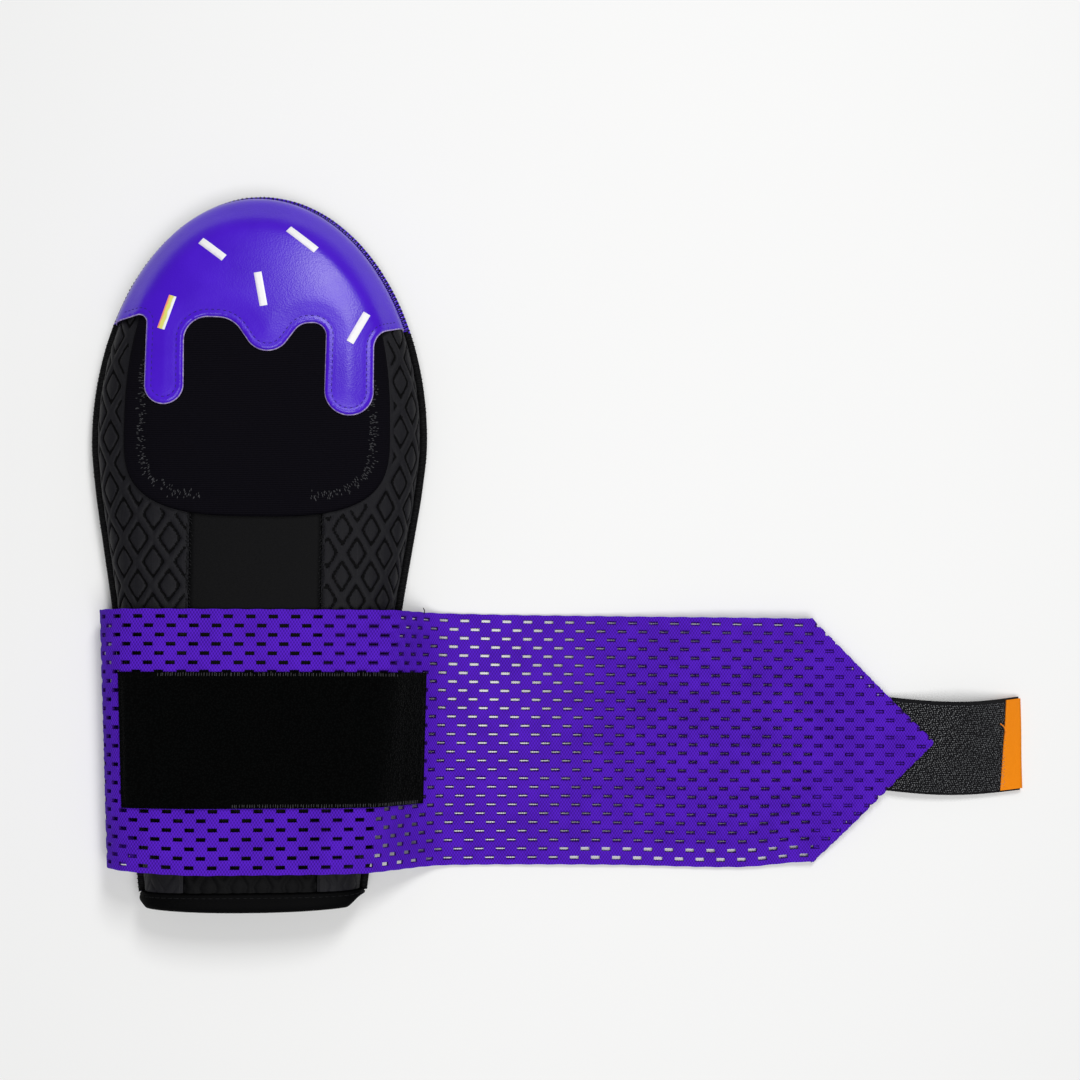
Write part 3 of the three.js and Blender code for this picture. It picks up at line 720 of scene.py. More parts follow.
def palm_panel():
    columns = 81
    high = (TIP_Y - WALL_INSET) * np.sin(np.linspace(0.02, 0.994, 44) * RIGHT_ANGLE)
    y = np.concatenate([np.linspace(PANEL_START, 0.0, 46), high])
    rows = np.repeat(y[:, None], columns, axis=1)
    spread = np.sin(np.linspace(-1.0, 1.0, columns) * RIGHT_ANGLE)[None, :]
    x = spread * row_x(rows, 0.9999, -WALL_INSET)
    outer = np.stack([x, rows, palm_height(x, rows)], axis=-1)
    mesh = shell(outer, outer + upward_normals(outer) * WALL, grid_faces(len(y), columns))
    piece("palm_panel_cloth", mesh, [LOOKS.smooth], "smooth_neoprene", "palm_panel")


def overlocked_edge():
    """Thread wound round the sewn edge, over a core that is vinyl where the cap reaches the edge."""
    path = outline_path(-OVERLOCK.inset, OVERLOCK.pitch / 12)
    along = lengths_along(path)
    knots = np.arange(0.0, along[-1] + 8.0, 4.0)
    wobble = np.interp(along, knots, RNG.normal(0.0, 0.45, len(knots)))
    loose = 1.0 + np.interp(along, knots, RNG.normal(0.0, 0.07, len(knots)))
    phase = FULL_TURN * along / OVERLOCK.pitch + wobble
    flat = path + left_of(path) * (OVERLOCK.reach * loose * np.cos(phase))[:, None]
    strands = []
    for turn, thread in zip((1.0, -1.0), OVERLOCK.threads):
        helix = np.column_stack([flat, SEAM_Z + OVERLOCK.rise * loose * turn * np.sin(phase)])
        strands.append(tube(helix, thread, 4))
    middle = outline_path(-OVERLOCK.inset, 1.5)
    middle = np.column_stack([middle, np.full(len(middle), SEAM_Z)])
    points, faces, source = joined(*strands, tube(middle, OVERLOCK.core, 12, OVERLOCK.flat))
    height = np.array([points[face[0]][1] for face in faces])
    slots = np.where(np.array(source) < 2, 0, np.where(height > OVERLOCK.cap_y, 2, 1))
    looks = [LOOKS.black_thread, LOOKS.smooth, LOOKS.vinyl]
    piece("overlocked_edge", (points, faces), looks, "overlock_thread", "edge_seam", slots=slots, sharp=70.0)


def mouth_ring(out, count):
    """The outline of the wrist mouth, over the front and back along the palm, moved out of the wall."""
    y = np.full(count, CUFF_Y)
    turn = np.linspace(-RIGHT_ANGLE, RIGHT_ANGLE, count, endpoint=False)
    x = np.sign(turn) * row_x(y, spaced(np.abs(turn)), out - WALL_INSET)
    front = np.stack([x, front_height(x, y, out)], axis=-1)
    spread = np.sin(np.linspace(1.0, -1.0, count, endpoint=False) * RIGHT_ANGLE)
    back_x = spread * row_x(y, np.ones(count), out - WALL_INSET)
    back = np.stack([back_x, palm_height(back_x, y, -out)], axis=-1)
    return np.vstack([front, back])


def mouth_edge(x, along):
    """How far the mouth's edge is drawn up: a little towards its sides, and more at its corners."""
    bow = 1.5 * (x / 43.0) ** 2
    right = 4.4 * smoothstep(36.0, 43.4, x)
    left = 2.4 * smoothstep(39.0, 43.4, -x)
    return (bow + right + left) * (1.0 - along) ** 1.5


def hem_ring(out, along, count):
    ring = mouth_ring(out, count) * (HEM_SPREAD, 1.0)
    y = CUFF_Y + along * HEM_WIDTH + mouth_edge(ring[:, 0], along)
    return np.column_stack([ring[:, 0], y, np.maximum(ring[:, 1], 0.35)])


def cuff_hem():
    rings = [hem_ring(row.out, row.along, 90) for row in rows_of(HEM_PROFILE)]
    columns = len(rings[0])
    faces = grid_faces(len(rings), columns, looped=True).tolist()
    for i in range(len(rings)):
        k = (i + 1) % len(rings)
        faces.append((i * columns + columns - 1, k * columns + columns - 1, k * columns, i * columns))
    mesh = (np.vstack(rings), faces)
    # The hem's darker neoprene is painted shade
    piece("cuff_hem_cloth", mesh, [LOOKS.cuff], "smooth_neoprene", "cuff_hem", sharp=60.0)
    path = hem_ring(HEM_STITCH.out, HEM_STITCH.along, HEM_STITCH.count)[:HEM_STITCH.count]
    stitches = stitch_row(path, HEM_STITCH.pitch, HEM_STITCH.thread)
    piece("hem_stitches", stitches, [LOOKS.black_thread], "overlock_thread")


def panel_stitches():
    """Short overlock stitches along the seams of the centre panel, where they show."""
    thread = capsule(PANEL_STITCH.length, PANEL_STITCH.thread)
    y = np.arange(PANEL_STITCH.start, PANEL_STITCH.end, PANEL_STITCH.pitch)
    swing = np.where(np.arange(len(y)) % 2 == 0, PANEL_STITCH.half, -PANEL_STITCH.half)
    parts = []
    for side in (-1.0, 1.0):
        x = side * (PANEL_SEAM_X + swing + RNG.normal(0.0, 0.25, len(y)))
        angle = RNG.normal(0.9, 0.35, len(y)) * side
        heading = np.column_stack([np.cos(angle), np.sin(angle), np.zeros(len(y))])
        parts.append(scatter(*thread, on_front(x, y, 0.1), heading, UP))
    piece("panel_stitches", joined(*parts), [LOOKS.black_thread], "overlock_thread")


# Stitches

def capsule(length, radius):
    """A short thread lying along x, thinner at its ends."""
    sides = 6
    angle = np.linspace(0.0, FULL_TURN, sides, endpoint=False)
    rings = []
    for along, thick in ((-0.5, 0.15), (-0.42, 0.75), (-0.2, 1.0), (0.2, 1.0), (0.42, 0.75), (0.5, 0.15)):
        dip = -radius * 1.2 * abs(2 * along) ** 3
        across = np.cos(angle) * radius * thick
        height = dip + np.sin(angle) * radius * thick
        rings.append(np.column_stack([np.full(sides, along * length), across, height]))
    return np.vstack(rings), [face[:1] + face[:0:-1] for face in ring_faces(len(rings), sides)]


def stitch_row(path, pitch, radius, lift=0.0, fill=0.8):
    """A row of separate stitches along a path that lies on an upper surface."""
    along = lengths_along(path)
    at = np.arange(pitch / 2, along[-1], pitch)
    heading = unit(picked(at, along, tangents_of(path)))
    return scatter(*capsule(pitch * fill, radius), picked(at, along, path) + UP * lift, heading, UP)


def zigzag(path, side, pitch, half):
    """A path that swings from side to side of another as it goes along."""
    along = lengths_along(path)
    at = np.arange(0.0, along[-1], pitch / 2)
    swing = np.where(np.arange(len(at)) % 2 == 0, half, -half)
    return picked(at, along, path) + picked(at, along, side) * swing[:, None]


# Pad and cap

def pad_lift(edge_distance):
    """The pad's upper face over the wall: a rounded edge, a border, a sewn dip and a plump middle."""
    rounded = np.sqrt(1.0 - (1.0 - np.clip(edge_distance / 1.8, 0.0, 1.0)) ** 2)
    rim = PAD_LIFT.edge + (PAD_LIFT.border - PAD_LIFT.edge) * rounded
    plump = (PAD_LIFT.middle - PAD_LIFT.border) * smoothstep(3.0, 14.0, edge_distance)
    return rim + plump - 0.3 * bell(edge_distance - PAD_STITCH.inset, 1.8)


def hand_pad():
    columns = 300
    inset = np.concatenate([[0.0, 0.15, 0.4, 0.8, 1.3, 1.9], np.arange(2.6, 12.0, 0.8)])
    outline = pad_outline(columns)
    border = 1.0 - inset[:, None] / np.linalg.norm(outline, axis=1) * 1.12
    level = np.vstack([border, border[-1:] * np.linspace(0.92, 0.02, 15)[:, None]]).T
    x = outline[:, None, 0] * level
    y = outline[:, None, 1] * level
    distance = distance_to_path(np.column_stack([x.ravel(), y.ravel()]), closed(outline)).reshape(x.shape)
    rows = level.shape[1]
    faces = grid_faces(columns, rows, looped=True)[:, ::-1].tolist()
    faces.append([k * rows + rows - 1 for k in range(columns)][::-1])
    mesh = shell(on_front(x, y, pad_lift(distance)), on_front(x, y, PAD_LIFT.under), faces)
    pad = piece("hand_pad_cloth", mesh, [LOOKS.pad], "pad_cloth", "hand_pad", sharp=70.0)


def pad_stitches():
    """What shows of a zigzag row inside the pad's border: loose stitches at its sides and lower corners."""
    columns = 720
    outline = pad_outline(columns)
    start = int(np.argmin(np.abs(outline[:columns // 2, 1] - 30.0)))
    lower = resample(outline[start:columns - start], 0.8)
    inward = left_of(lower)
    inward *= -np.sign((inward * lower).sum(axis=1, keepdims=True))
    swing = zigzag(lower + inward * PAD_STITCH.inset, inward, PAD_STITCH.pitch, PAD_STITCH.half)
    place = (swing[1:] + swing[:-1]) / 2 + RNG.normal(0.0, 1.0, (len(swing) - 1, 2))
    shown = (np.abs(place[:, 0]) > PAD_STITCH.least_x) & (RNG.random(len(place)) < PAD_STITCH.kept)
    place = place[shown]
    lift = pad_lift(distance_to_path(place, closed(outline))) + 0.06
    along = np.pad(unit(np.diff(swing, axis=0)[shown]), ((0, 0), (0, 1)))
    thread = capsule(PAD_STITCH.length, PAD_STITCH.thread)
    mesh = scatter(*thread, on_front(*place.T, lift), along, UP)
    piece("pad_stitches", mesh, [LOOKS.grey_thread], "pad_cloth")


def stretch_angle(start, end):
    """The direction of the straight stretch that touches two circles of the dripping edge."""
    dx, dy = end.x - start.x, end.y - start.y
    growth = end.turn * end.radius - start.turn * start.radius
    return math.atan2(dy, dx) - math.asin(growth / math.hypot(dx, dy))


def drip_outline():
    """The dripping edge from left to right: arcs round the circles, with straight stretches between them."""
    circles = rows_of(DRIPS)
    runs = [np.array([(circles[0].x, circles[0].y)])]
    for before, at, after in zip(circles, circles[1:], circles[2:]):
        arrive = stretch_angle(before, at)
        sweep = at.turn * ((stretch_angle(at, after) - arrive) * at.turn % FULL_TURN)
        angle = arrive - at.turn * RIGHT_ANGLE + np.linspace(0.0, sweep, 30)
        runs.append(np.column_stack([at.x + at.radius * np.cos(angle), at.y + at.radius * np.sin(angle)]))
    runs.append(np.array([(circles[-1].x, circles[-1].y)]))
    return resample(np.vstack(runs), 0.5)


drip_path = drip_outline()


def cap_base(x, y):
    """The cap's underside over the wall: close to it at the rim, and over the pad further in."""
    climb = 1.0 - smoothstep(1.0, 1.16, pad_level(x, y))
    return CAP.clear + climb * (PAD_LIFT.middle + 0.15)


def cap_profile(distance):
    """The cap's own thickness by the distance from its dripping edge."""
    edge = CAP.thickness * np.sqrt(1.0 - (1.0 - np.clip(distance / 0.5, 0.0, 1.0)) ** 2 * 0.75)
    puff = CAP.puff * smoothstep(CAP.border - 0.5, CAP.border + 8.0, distance)
    return edge + puff - CAP.groove * bell(distance - CAP.border, 0.75)


def cap_rim(x):
    """The lift of the cap's upper face at its rim: less on the right, where more of the edge shows."""
    return CAP.rim_right + (CAP.rim_left - CAP.rim_right) * smoothstep(25.0, -35.0, x)


def cap_share(x, y):
    return across_share(x, y, cap_rim(x) - WALL_INSET)


def cap_lifts(x, y):
    """The lifts of the cap's upper and lower faces off the wall. They close in on it towards the rim."""
    distance = distance_to_path(np.column_stack([x, y]), drip_path)
    inside = 1.0 - smoothstep(0.82, 0.995, cap_share(x, y))
    low = cap_base(x, y)
    rim = cap_rim(x)
    upper = rim + (low + cap_profile(distance) - rim) * inside
    return upper, rim - CAP.rim + (low - rim + CAP.rim) * inside


def cap_outline():
    """The dripping edge inside the rim, then the rim from right to left over the fingertips."""
    drip = drip_path[cap_share(*drip_path.T) < CAP_EDGE]
    start, end = [math.atan2(x / WIDEST, y / TIP_Y) for x, y in (drip[-1], drip[0])]
    angle = np.linspace(start, end, 260)[1:-1]
    arc = np.column_stack([np.sin(angle) * WIDEST, np.cos(angle) * TIP_Y])
    for _ in range(4):
        arc = arc * (CAP_EDGE / cap_share(*arc.T))[:, None]
    return drip, arc


def hex_places(step):
    """Staggered rows of places over the cap."""
    x, y = np.meshgrid(np.arange(-66.0, 66.0, step), np.arange(5.0, 100.0, step * 0.866))
    x = x + (np.arange(len(y)) % 2 * step / 2)[:, None]
    return np.column_stack([x.ravel(), y.ravel()])


def cap_fill(arc):
    """Places inside the cap's outline: close together along its dripping edge, in rows towards its rim."""
    places = []
    for step, least, most, share in ((0.75, 0.45, 8.0, 0.97), (2.0, 8.0, np.inf, 0.93)):
        spots = hex_places(step)
        near = distance_to_path(spots, drip_path)
        places.append(spots[(near > least) & (near < most) & (cap_share(*spots.T) < share)])
    for turn in np.linspace(0.74, 0.985, 16):
        ring = arc * spaced(turn * RIGHT_ANGLE)
        places.append(ring[distance_to_path(ring, drip_path) > 1.0])
    return np.vstack(places)


def rim_stretched(flat):
    """Flat places moved so that the steep rim has room for its rows of facets."""
    share = np.clip(cap_share(*flat.T), 1e-6, 0.99999)
    turn = np.arcsin(share ** 1.5) / RIGHT_ANGLE
    return flat * (turn / share)[:, None]


def cap_outward(places):
    """Flat directions out over the dripping edge, for the places on it."""
    nearest = [int(np.argmin(((drip_path - place) ** 2).sum(axis=1))) for place in places]
    return np.pad(-left_of(drip_path)[nearest], ((0, 0), (0, 1)))


def finger_cap():
    drip, arc = cap_outline()
    border = np.vstack([drip, arc])
    flat = np.vstack([border, cap_fill(arc)])
    stretched = [tuple(place) for place in rim_stretched(flat).tolist()]
    found = delaunay_2d_cdt(stretched, [], [list(range(len(border)))], 1, 1e-4)
    places = flat[[ids[0] for ids in found[3]]]
    distance = distance_to_path(places, drip_path)
    upper, lower = cap_lifts(*places.T)
    flare = cap_outward(places) * (0.3 * bell(distance, 0.2))[:, None]
    points, faces, walls = shell(on_front(*places.T, upper), on_front(*places.T, lower) + flare, found[2])
    cut = np.tile(distance < 0.3, 2)
    slots = [0] * (len(faces) - walls) + [int(cut[list(face)].all()) for face in faces[-walls:]]
    looks = [LOOKS.vinyl, LOOKS.vinyl_edge]
    piece("finger_cap_vinyl", (points, faces), looks, "purple_vinyl", "finger_cap", slots=slots)


def cap_stitches():
    row = drip_path + left_of(drip_path) * CAP.border
    keep = distance_to_path(row, drip_path) > CAP.border - 0.15
    keep &= across_share(*row.T, -WALL_INSET) < 0.985
    row = resample(row[keep], 0.5)
    path = on_front(*row.T, cap_lifts(*row.T)[0])
    thread = stitch_row(path, CAP_STITCH.pitch, CAP_STITCH.thread, CAP_STITCH.lift, CAP_STITCH.fill)
    piece("cap_stitches", thread, [LOOKS.purple_thread], "purple_vinyl")


def sprinkles():
    """Flat foil bars on the cap, one piece for each kind of foil."""
    for foil in ("white", "warm"):
        bars = [sprinkle(bar) for bar in rows_of(SPRINKLES) if bar.foil == foil]
        mesh = joined(*[bar[:2] for bar in bars])
        uv = np.vstack([bar[2] for bar in bars])
        piece(f"sprinkles_{foil}", mesh, [vars(LOOKS)[foil]], "purple_vinyl", uv=uv)


def sprinkle(bar):
    s, w = grid(np.linspace(-0.5, 0.5, 22) * bar.length, np.linspace(-0.5, 0.5, 8) * SPRINKLE_WIDTH)
    angle = math.radians(bar.angle)
    x = bar.x + s * math.cos(angle) - w * math.sin(angle)
    y = bar.y + s * math.sin(angle) + w * math.cos(angle)
    lift = cap_lifts(x.ravel(), y.ravel())[0].reshape(x.shape)
    edge = np.minimum(bar.length / 2 - np.abs(s), SPRINKLE_WIDTH / 2 - np.abs(w))
    top = on_front(x, y, lift + 0.16 + 0.1 * smoothstep(0.0, 0.4, edge))
    points, faces, _ = shell(top, on_front(x, y, lift + 0.02), grid_faces(*s.shape))
    return points, faces, two_layers(s, (w / SPRINKLE_WIDTH + 0.5) * 10.0)


# The strap

class StrapCourse:
    """Where the strap's cloth lies: flat millimetres along and across it, to places in the scene."""

    PER_SPAN = 24
    STEP = 0.5
    ROWS = 21

    def __init__(self):
        self.across = np.linspace(0.0, 1.0, self.ROWS)
        far = np.column_stack([STRAP_KNOTS["x_far"], STRAP_KNOTS["z_far"]])
        near = np.column_stack([STRAP_KNOTS["x_near"], STRAP_KNOTS["z_near"]])
        paths = []
        for a in self.across:
            path = centripetal(far * (1 - a) + near * a, self.PER_SPAN)
            path[:, 1] += self.bulge(path[:, 0]) * math.sin(math.pi * a)
            paths.append(path)
        zero = STRAP_ZERO_KNOT * self.PER_SPAN
        self.courses = np.arange(len(paths[0])) / self.PER_SPAN
        self.along = [lengths_along(path) - lengths_along(path)[zero] for path in paths]
        self.start = max(along[0] for along in self.along)
        self.end = min(along[-1] for along in self.along)
        self.grid = np.arange(self.start, self.end + self.STEP, self.STEP)
        rows = [picked(self.grid, along, path) for along, path in zip(self.along, paths)]
        self.x, self.z = np.moveaxis(np.array(rows), -1, 0)

    @staticmethod
    def bulge(x):
        """How far the lying run stands up along its middle."""
        rise = smoothstep(STRAP_BULGE.start, STRAP_BULGE.full, x)
        return STRAP_BULGE.height * rise * (1.0 - smoothstep(STRAP_BULGE.fade, STRAP_BULGE.end, x))

    def look_up(self, table, s, w):
        row = np.clip((STRAP_HALF - w) / (2 * STRAP_HALF), 0.0, 1.0) * (self.ROWS - 1)
        column = np.clip((s - self.grid[0]) / self.STEP, 0.0, len(self.grid) - 1.001)
        r = np.clip(row.astype(int), 0, self.ROWS - 2)
        c = column.astype(int)
        fr = row - r
        fc = column - c
        upper = table[r, c] * (1 - fc) + table[r, c + 1] * fc
        lower = table[r + 1, c] * (1 - fc) + table[r + 1, c + 1] * fc
        return upper * (1 - fr) + lower * fr

    def middle(self, s, w):
        x = self.look_up(self.x, s, w)
        y = STRAP_Y + w * (1.0 + STRAP_SHAPE.stretch * (1.0 - smoothstep(50.0, 110.0, x)))
        y = y - STRAP_SHAPE.skew * np.maximum(x - STRAP_SHAPE.skew_x, 0.0)
        corner = STRAP_SHAPE.corner * smoothstep(-15.0, -62.0, x)
        sag = STRAP_SHAPE.sag * bell(x - STRAP_SHAPE.sag_x, 32.0)
        tail = STRAP_SHAPE.tail * smoothstep(195.0, 222.0, x)
        y = y + (corner - sag + tail) * np.clip(-w / STRAP_HALF, 0.0, 1.0) ** 2
        return np.stack([x, y, self.look_up(self.z, s, w)], axis=-1)

    def point(self, s, w, lift):
        """A place off the cloth's middle by lift, on its upper side where it crosses the front."""
        near = 0.8
        along = self.middle(s + near, w) - self.middle(s - near, w)
        aside = self.middle(s, w + near) - self.middle(s, w - near)
        return self.middle(s, w) + unit(np.cross(along, aside)) * np.asarray(lift)[..., None]

    def length_at(self, course, across):
        """The flat length along the cloth at a place in its course of knots, for places across it."""
        rows = [np.interp(course, self.courses, along) for along in self.along]
        return np.interp(across, self.across, rows)

    def length_at_x(self, x):
        """The flat length along the middle row where the lying run reaches x."""
        lying = self.grid > -5.0
        return float(np.interp(x, self.x[self.ROWS // 2][lying], self.grid[lying]))


def slot_cell():
    """One cell of the mesh: its outer loop and its slot's loop, point for point, about the slot's middle."""
    run = np.linspace(-1.0, 1.0, SLOT.points)
    tooth = SLOT.tooth * np.cos(math.pi * np.arange(SLOT.points))

    def loop(half_length, half_height):
        side = np.column_stack([run * half_length, -np.broadcast_to(half_height, run.shape)])
        return np.vstack([side, -side])

    return loop(SLOT.pitch / 2, SLOT.row_pitch / 2), loop(SLOT.half_length, SLOT.half_height + tooth)


def slot_draw(s, w):
    """How far the cloth's lower face covers a slot: least at the bend off the mitt, on the wrist side."""
    open_part = smoothstep(-20.0, -8.0, s) * (1.0 - smoothstep(25.0, 70.0, s)) * smoothstep(-20.0, 35.0, w)
    edge = 0.42 * smoothstep(-40.0, -44.0, w) * smoothstep(30.0, 50.0, s)
    bend = 0.5 * smoothstep(-12.0, -26.0, w) * bell(s + 40.0, 22.0)
    lying = max(0.54 - 0.28 * open_part - edge - bend, 0.04)
    doubled = smoothstep(138.0, 150.0, s)
    over = 1.0 - smoothstep(-80.0, -62.0, s)
    return lying + (0.06 - lying) * over + (0.48 - lying) * doubled


class FlatCloth:
    """Points and faces of the mesh cloth laid flat, with points at one place shared.

    A point is its place along and across, and how far the cloth's lower face draws in there, round a slot.
    """

    def __init__(self):
        self.index = {}
        self.places = []
        self.faces = []

    def point(self, s, w, draw=0.0):
        key = (round(s, 3), round(w, 3))
        if key not in self.index:
            self.index[key] = len(self.places)
            over = 1.0 - smoothstep(-60.0, 0.0, s)
            lean = LEAN.lying + (LEAN.over - LEAN.lying) * over
            self.places.append((s + lean * w + LEAN.shift * over, w, draw))
        return self.index[key]

    def cell(self, s, w, outer, slot):
        draw = slot_draw(s, w)
        rim = [self.point(s + ds, w + dw) for ds, dw in outer]
        hole = [self.point(s + ds, w + dw, -math.copysign(draw, dw)) for ds, dw in slot]
        for k in range(len(outer)):
            n = (k + 1) % len(outer)
            self.faces.append((rim[k], rim[n], hole[n], hole[k]))

    def selvage(self, line, inner, outer):
        """A plain strip along a long edge, a little scalloped."""
        depth = math.copysign(0.08, outer)
        for a, b in zip(line, line[1:]):
            rim = [outer + depth * math.cos(FULL_TURN * s / SLOT.pitch) for s in (a, b)]
            quad = [self.point(a, inner), self.point(b, inner), self.point(b, rim[1]), self.point(a, rim[0])]
            self.faces.append(tuple(quad if outer > 0 else quad[::-1]))


def flat_mesh(course):
    """The mesh cloth laid flat: staggered rows of slotted cells between two selvages."""
    outer, slot = slot_cell()
    phase = course.length_at_x(SLOT.phase)
    first = int(math.ceil((course.start - phase) / SLOT.pitch)) - 1
    last = int(math.floor((course.end - phase) / SLOT.pitch)) + 2
    cloth = FlatCloth()
    across = STRAP_HALF - SLOT.first_row - SLOT.row_pitch * np.arange(SLOT.rows)
    for row, w in enumerate(across.tolist()):
        shift = phase + (0.0 if row % 2 == 0 else SLOT.pitch / 2)
        for column in range(first, last):
            cloth.cell(shift + column * SLOT.pitch, w, outer, slot)
    steps = np.arange((last - first) * (SLOT.points - 1) + 1) * SLOT.pitch / (SLOT.points - 1)
    for row, side in ((0, 1.0), (-1, -1.0)):
        start = phase + (first - 0.5) * SLOT.pitch + (0.0 if row == 0 else SLOT.pitch / 2)
        cloth.selvage((start + steps).tolist(), across[row] + side * SLOT.row_pitch / 2, side * STRAP_HALF)
    return cloth


def fold_lines(course):
    """The slanting fold of each corner, as a place on it and the flat direction out over it, and the tip."""
    corner = course.length_at_x(POINT.corner_x)
    tip = course.length_at_x(POINT.tip_x)
    out = unit(np.array([STRAP_HALF - POINT.tip_half, tip - corner]))
    return [(np.array([corner, side * STRAP_HALF]), out * (1.0, side)) for side in (1.0, -1.0)], tip


def trimmed(cloth, course):
    """The flat cloth cut to length, with edges added where its corners bend: points, draws, faces, area."""
    folds, tip = fold_lines(course)
    mesh = bmesh.new()
    made = [mesh.verts.new(place) for place in cloth.places]
    for face in cloth.faces:
        mesh.faces.new([made[v] for v in face])
    cuts = [((course.start + 1.0, 0.0), (-1.0, 0.0), True), ((tip, 0.0), (1.0, 0.0), True)]
    for place, out in folds:
        for share in (0.0, 0.33, 0.67, 1.0):
            cuts.append((place + out * POINT.bend * math.pi * share, out, False))
    for place, out, clear in cuts:
        cut = dict(plane_co=(*place, 0.0), plane_no=(*out, 0.0), clear_outer=clear)
        bmesh.ops.bisect_plane(mesh, geom=mesh.verts[:] + mesh.edges[:] + mesh.faces[:], **cut)
    mesh.verts.index_update()
    flat = np.array([v.co[:2] for v in mesh.verts])
    draw = np.array([v.co[2] for v in mesh.verts])
    faces = [tuple(v.index for v in face.verts) for face in mesh.faces]
    for v in mesh.verts:
        v.co.z = 0.0
    area = sum(face.calc_area() for face in mesh.faces)
    mesh.free()
    return flat, draw, faces, area


def folded(course, flat, lift):
    """Flat places and their lift off the cloth's middle, with the corners past the folds turned under."""
    flat = flat.copy()
    for place, out in fold_lines(course)[0]:
        past = np.maximum((flat - place) @ out, 0.0)
        turn = np.minimum(past / POINT.bend, math.pi)
        reach = POINT.bend * np.sin(turn) - np.maximum(past - POINT.bend * math.pi, 0.0) + lift * np.sin(turn)
        moved = past > 0.0
        flat[moved] += ((reach - past)[:, None] * out)[moved]
        lift = lift * np.cos(turn) - POINT.bend * (1.0 - np.cos(turn))
    return flat, lift


def wrist_strap(course):
    flat, draw, faces, area = trimmed(flat_mesh(course), course)
    s, w = flat.T
    ripple = 0.22 * np.sin(s / 17.0 + w / 41.0) + 0.16 * np.sin(w / 11.0 - s / 29.0)
    ripple = np.maximum(ripple, -0.15) * smoothstep(6.0, 30.0, s)
    layers = []
    for half, drawn in ((STRAP_THICKNESS / 2, 0.0), (-STRAP_THICKNESS / 2, 1.0)):
        face = flat + np.column_stack([np.zeros(len(flat)), draw * drawn])
        dip = SLOT.dip * smoothstep(0.0, 0.04, np.abs(draw)) * (1.0 - drawn)
        place, lift = folded(course, face, half - dip)
        layers.append(course.point(*place.T, lift + ripple))
    points, faces, walls = shell(*layers, faces)
    points[:, 2] = np.maximum(points[:, 2], STRAP_LEAST_Z)
    # The walls of the slots and the cloth's cut edges take the darker mesh, which is painted shade
    details = dict(uv=two_layers(s, w), slots=[0] * (len(faces) - walls) + [1] * walls)
    looks = [LOOKS.mesh, LOOKS.mesh_inside]
    strap = piece("wrist_strap_mesh", (points, faces), looks, "purple_mesh", "wrist_strap", **details)
    return strap, float(np.ptp(s)), area


def loop_panel(course):
    """A rectangle of loop pile on the strap, with a flat woven border sewn down along its long edges."""
    columns, rows = 190, 78
    across = np.linspace(LOOP.far, LOOP.near, rows)
    s = np.linspace(course.length_at(LOOP.start, across), course.length_at(LOOP.end, across), columns)
    w = np.tile(STRAP_HALF * (1 - 2 * across), (columns, 1))
    ends = np.minimum(s - s[:1], s[-1:] - s)
    sides = np.minimum(w[:, :1] - w, w - w[:, -1:])
    edge = np.minimum(ends, sides)
    pile = LOOP.thickness * (LOOP.border + (1.0 - LOOP.border) * smoothstep(1.2, 2.6, edge))
    tuft = RNG.normal(0.0, 0.10, s.shape) * smoothstep(1.6, 2.6, edge)
    top = course.point(s, w, LOOP.under + pile + tuft)
    mesh = shell(top, course.point(s, w, LOOP.under), grid_faces(columns, rows)[:, ::-1])
    panel = piece("loop_panel_pile", mesh, [LOOKS.loop], "loop_pile", "loop_panel")
    return [panel, loop_stitches(course, s, w)]


def loop_stitches(course, s, w):
    """Fine upright stitches along the panel's two long edges, in the stretches where they show."""
    lift = LOOP.under + LOOP.border * LOOP.thickness + 0.1
    parts = []
    for column, start, end in ((0, 0.12, 0.84), (-1, 0.34, 0.97)):
        rim = s[:, column]
        count = int(np.ptp(rim) * (end - start) / 0.95)
        at = np.linspace(start, end, count) * (len(rim) - 1) + RNG.normal(0.0, 0.25, count)
        along = np.interp(at, np.arange(len(rim)), rim)
        inward = -math.copysign(1.0, w[0, column] - w.mean())
        across = w[0, column] + inward * (1.2 + RNG.normal(0.0, 0.2, count))
        place = course.point(along, across, lift)
        up = course.point(along, across, lift + 1.0) - place
        heading = unit(course.point(along, across + 0.5, lift) - place)
        parts.append(scatter(*capsule(2.0, 0.13), place, heading, up))
    return piece("loop_stitches", joined(*parts), [LOOKS.grey_thread], "loop_pile")


# Hook tab and label

class TabCourse:
    """The hook tab's tape, by length from its hidden end and place across. Its far edge stands higher."""

    def __init__(self):
        self.path = resample(centripetal(np.column_stack(list(TAB_KNOTS.values())), 40), 0.25)
        middle = np.column_stack([self.path[:, 0], self.path[:, 1:].mean(axis=1)])
        self.along = lengths_along(middle)
        self.slope = np.gradient(self.path, self.along, axis=0)
        self.length = self.along[-1]

    def row(self, table, s, w):
        far = (w / TAB_HALF + 1.0) / 2
        x, z_far, z_near = [np.interp(s, self.along, column) for column in table.T]
        return x, z_far * far + z_near * (1.0 - far)

    def point(self, s, w, lift, turn=0.0):
        """A place off the tape's middle by lift, in a direction turned from its upper face to its end."""
        x, z = self.row(self.path, s, w)
        fx, fz = self.row(self.slope, s, w)
        size = np.hypot(fx, fz)
        off_x = (-fz * np.cos(turn) + fx * np.sin(turn)) / size
        off_z = (fx * np.cos(turn) + fz * np.sin(turn)) / size
        share = np.clip((s - TAB_BOW.start) / (self.length - TAB_BOW.start), 0.0, 1.0)
        bow = TAB_BOW.depth * np.sin(math.pi * share)
        return np.stack([x + off_x * lift, TAB_Y + w - bow, z + off_z * lift], axis=-1)


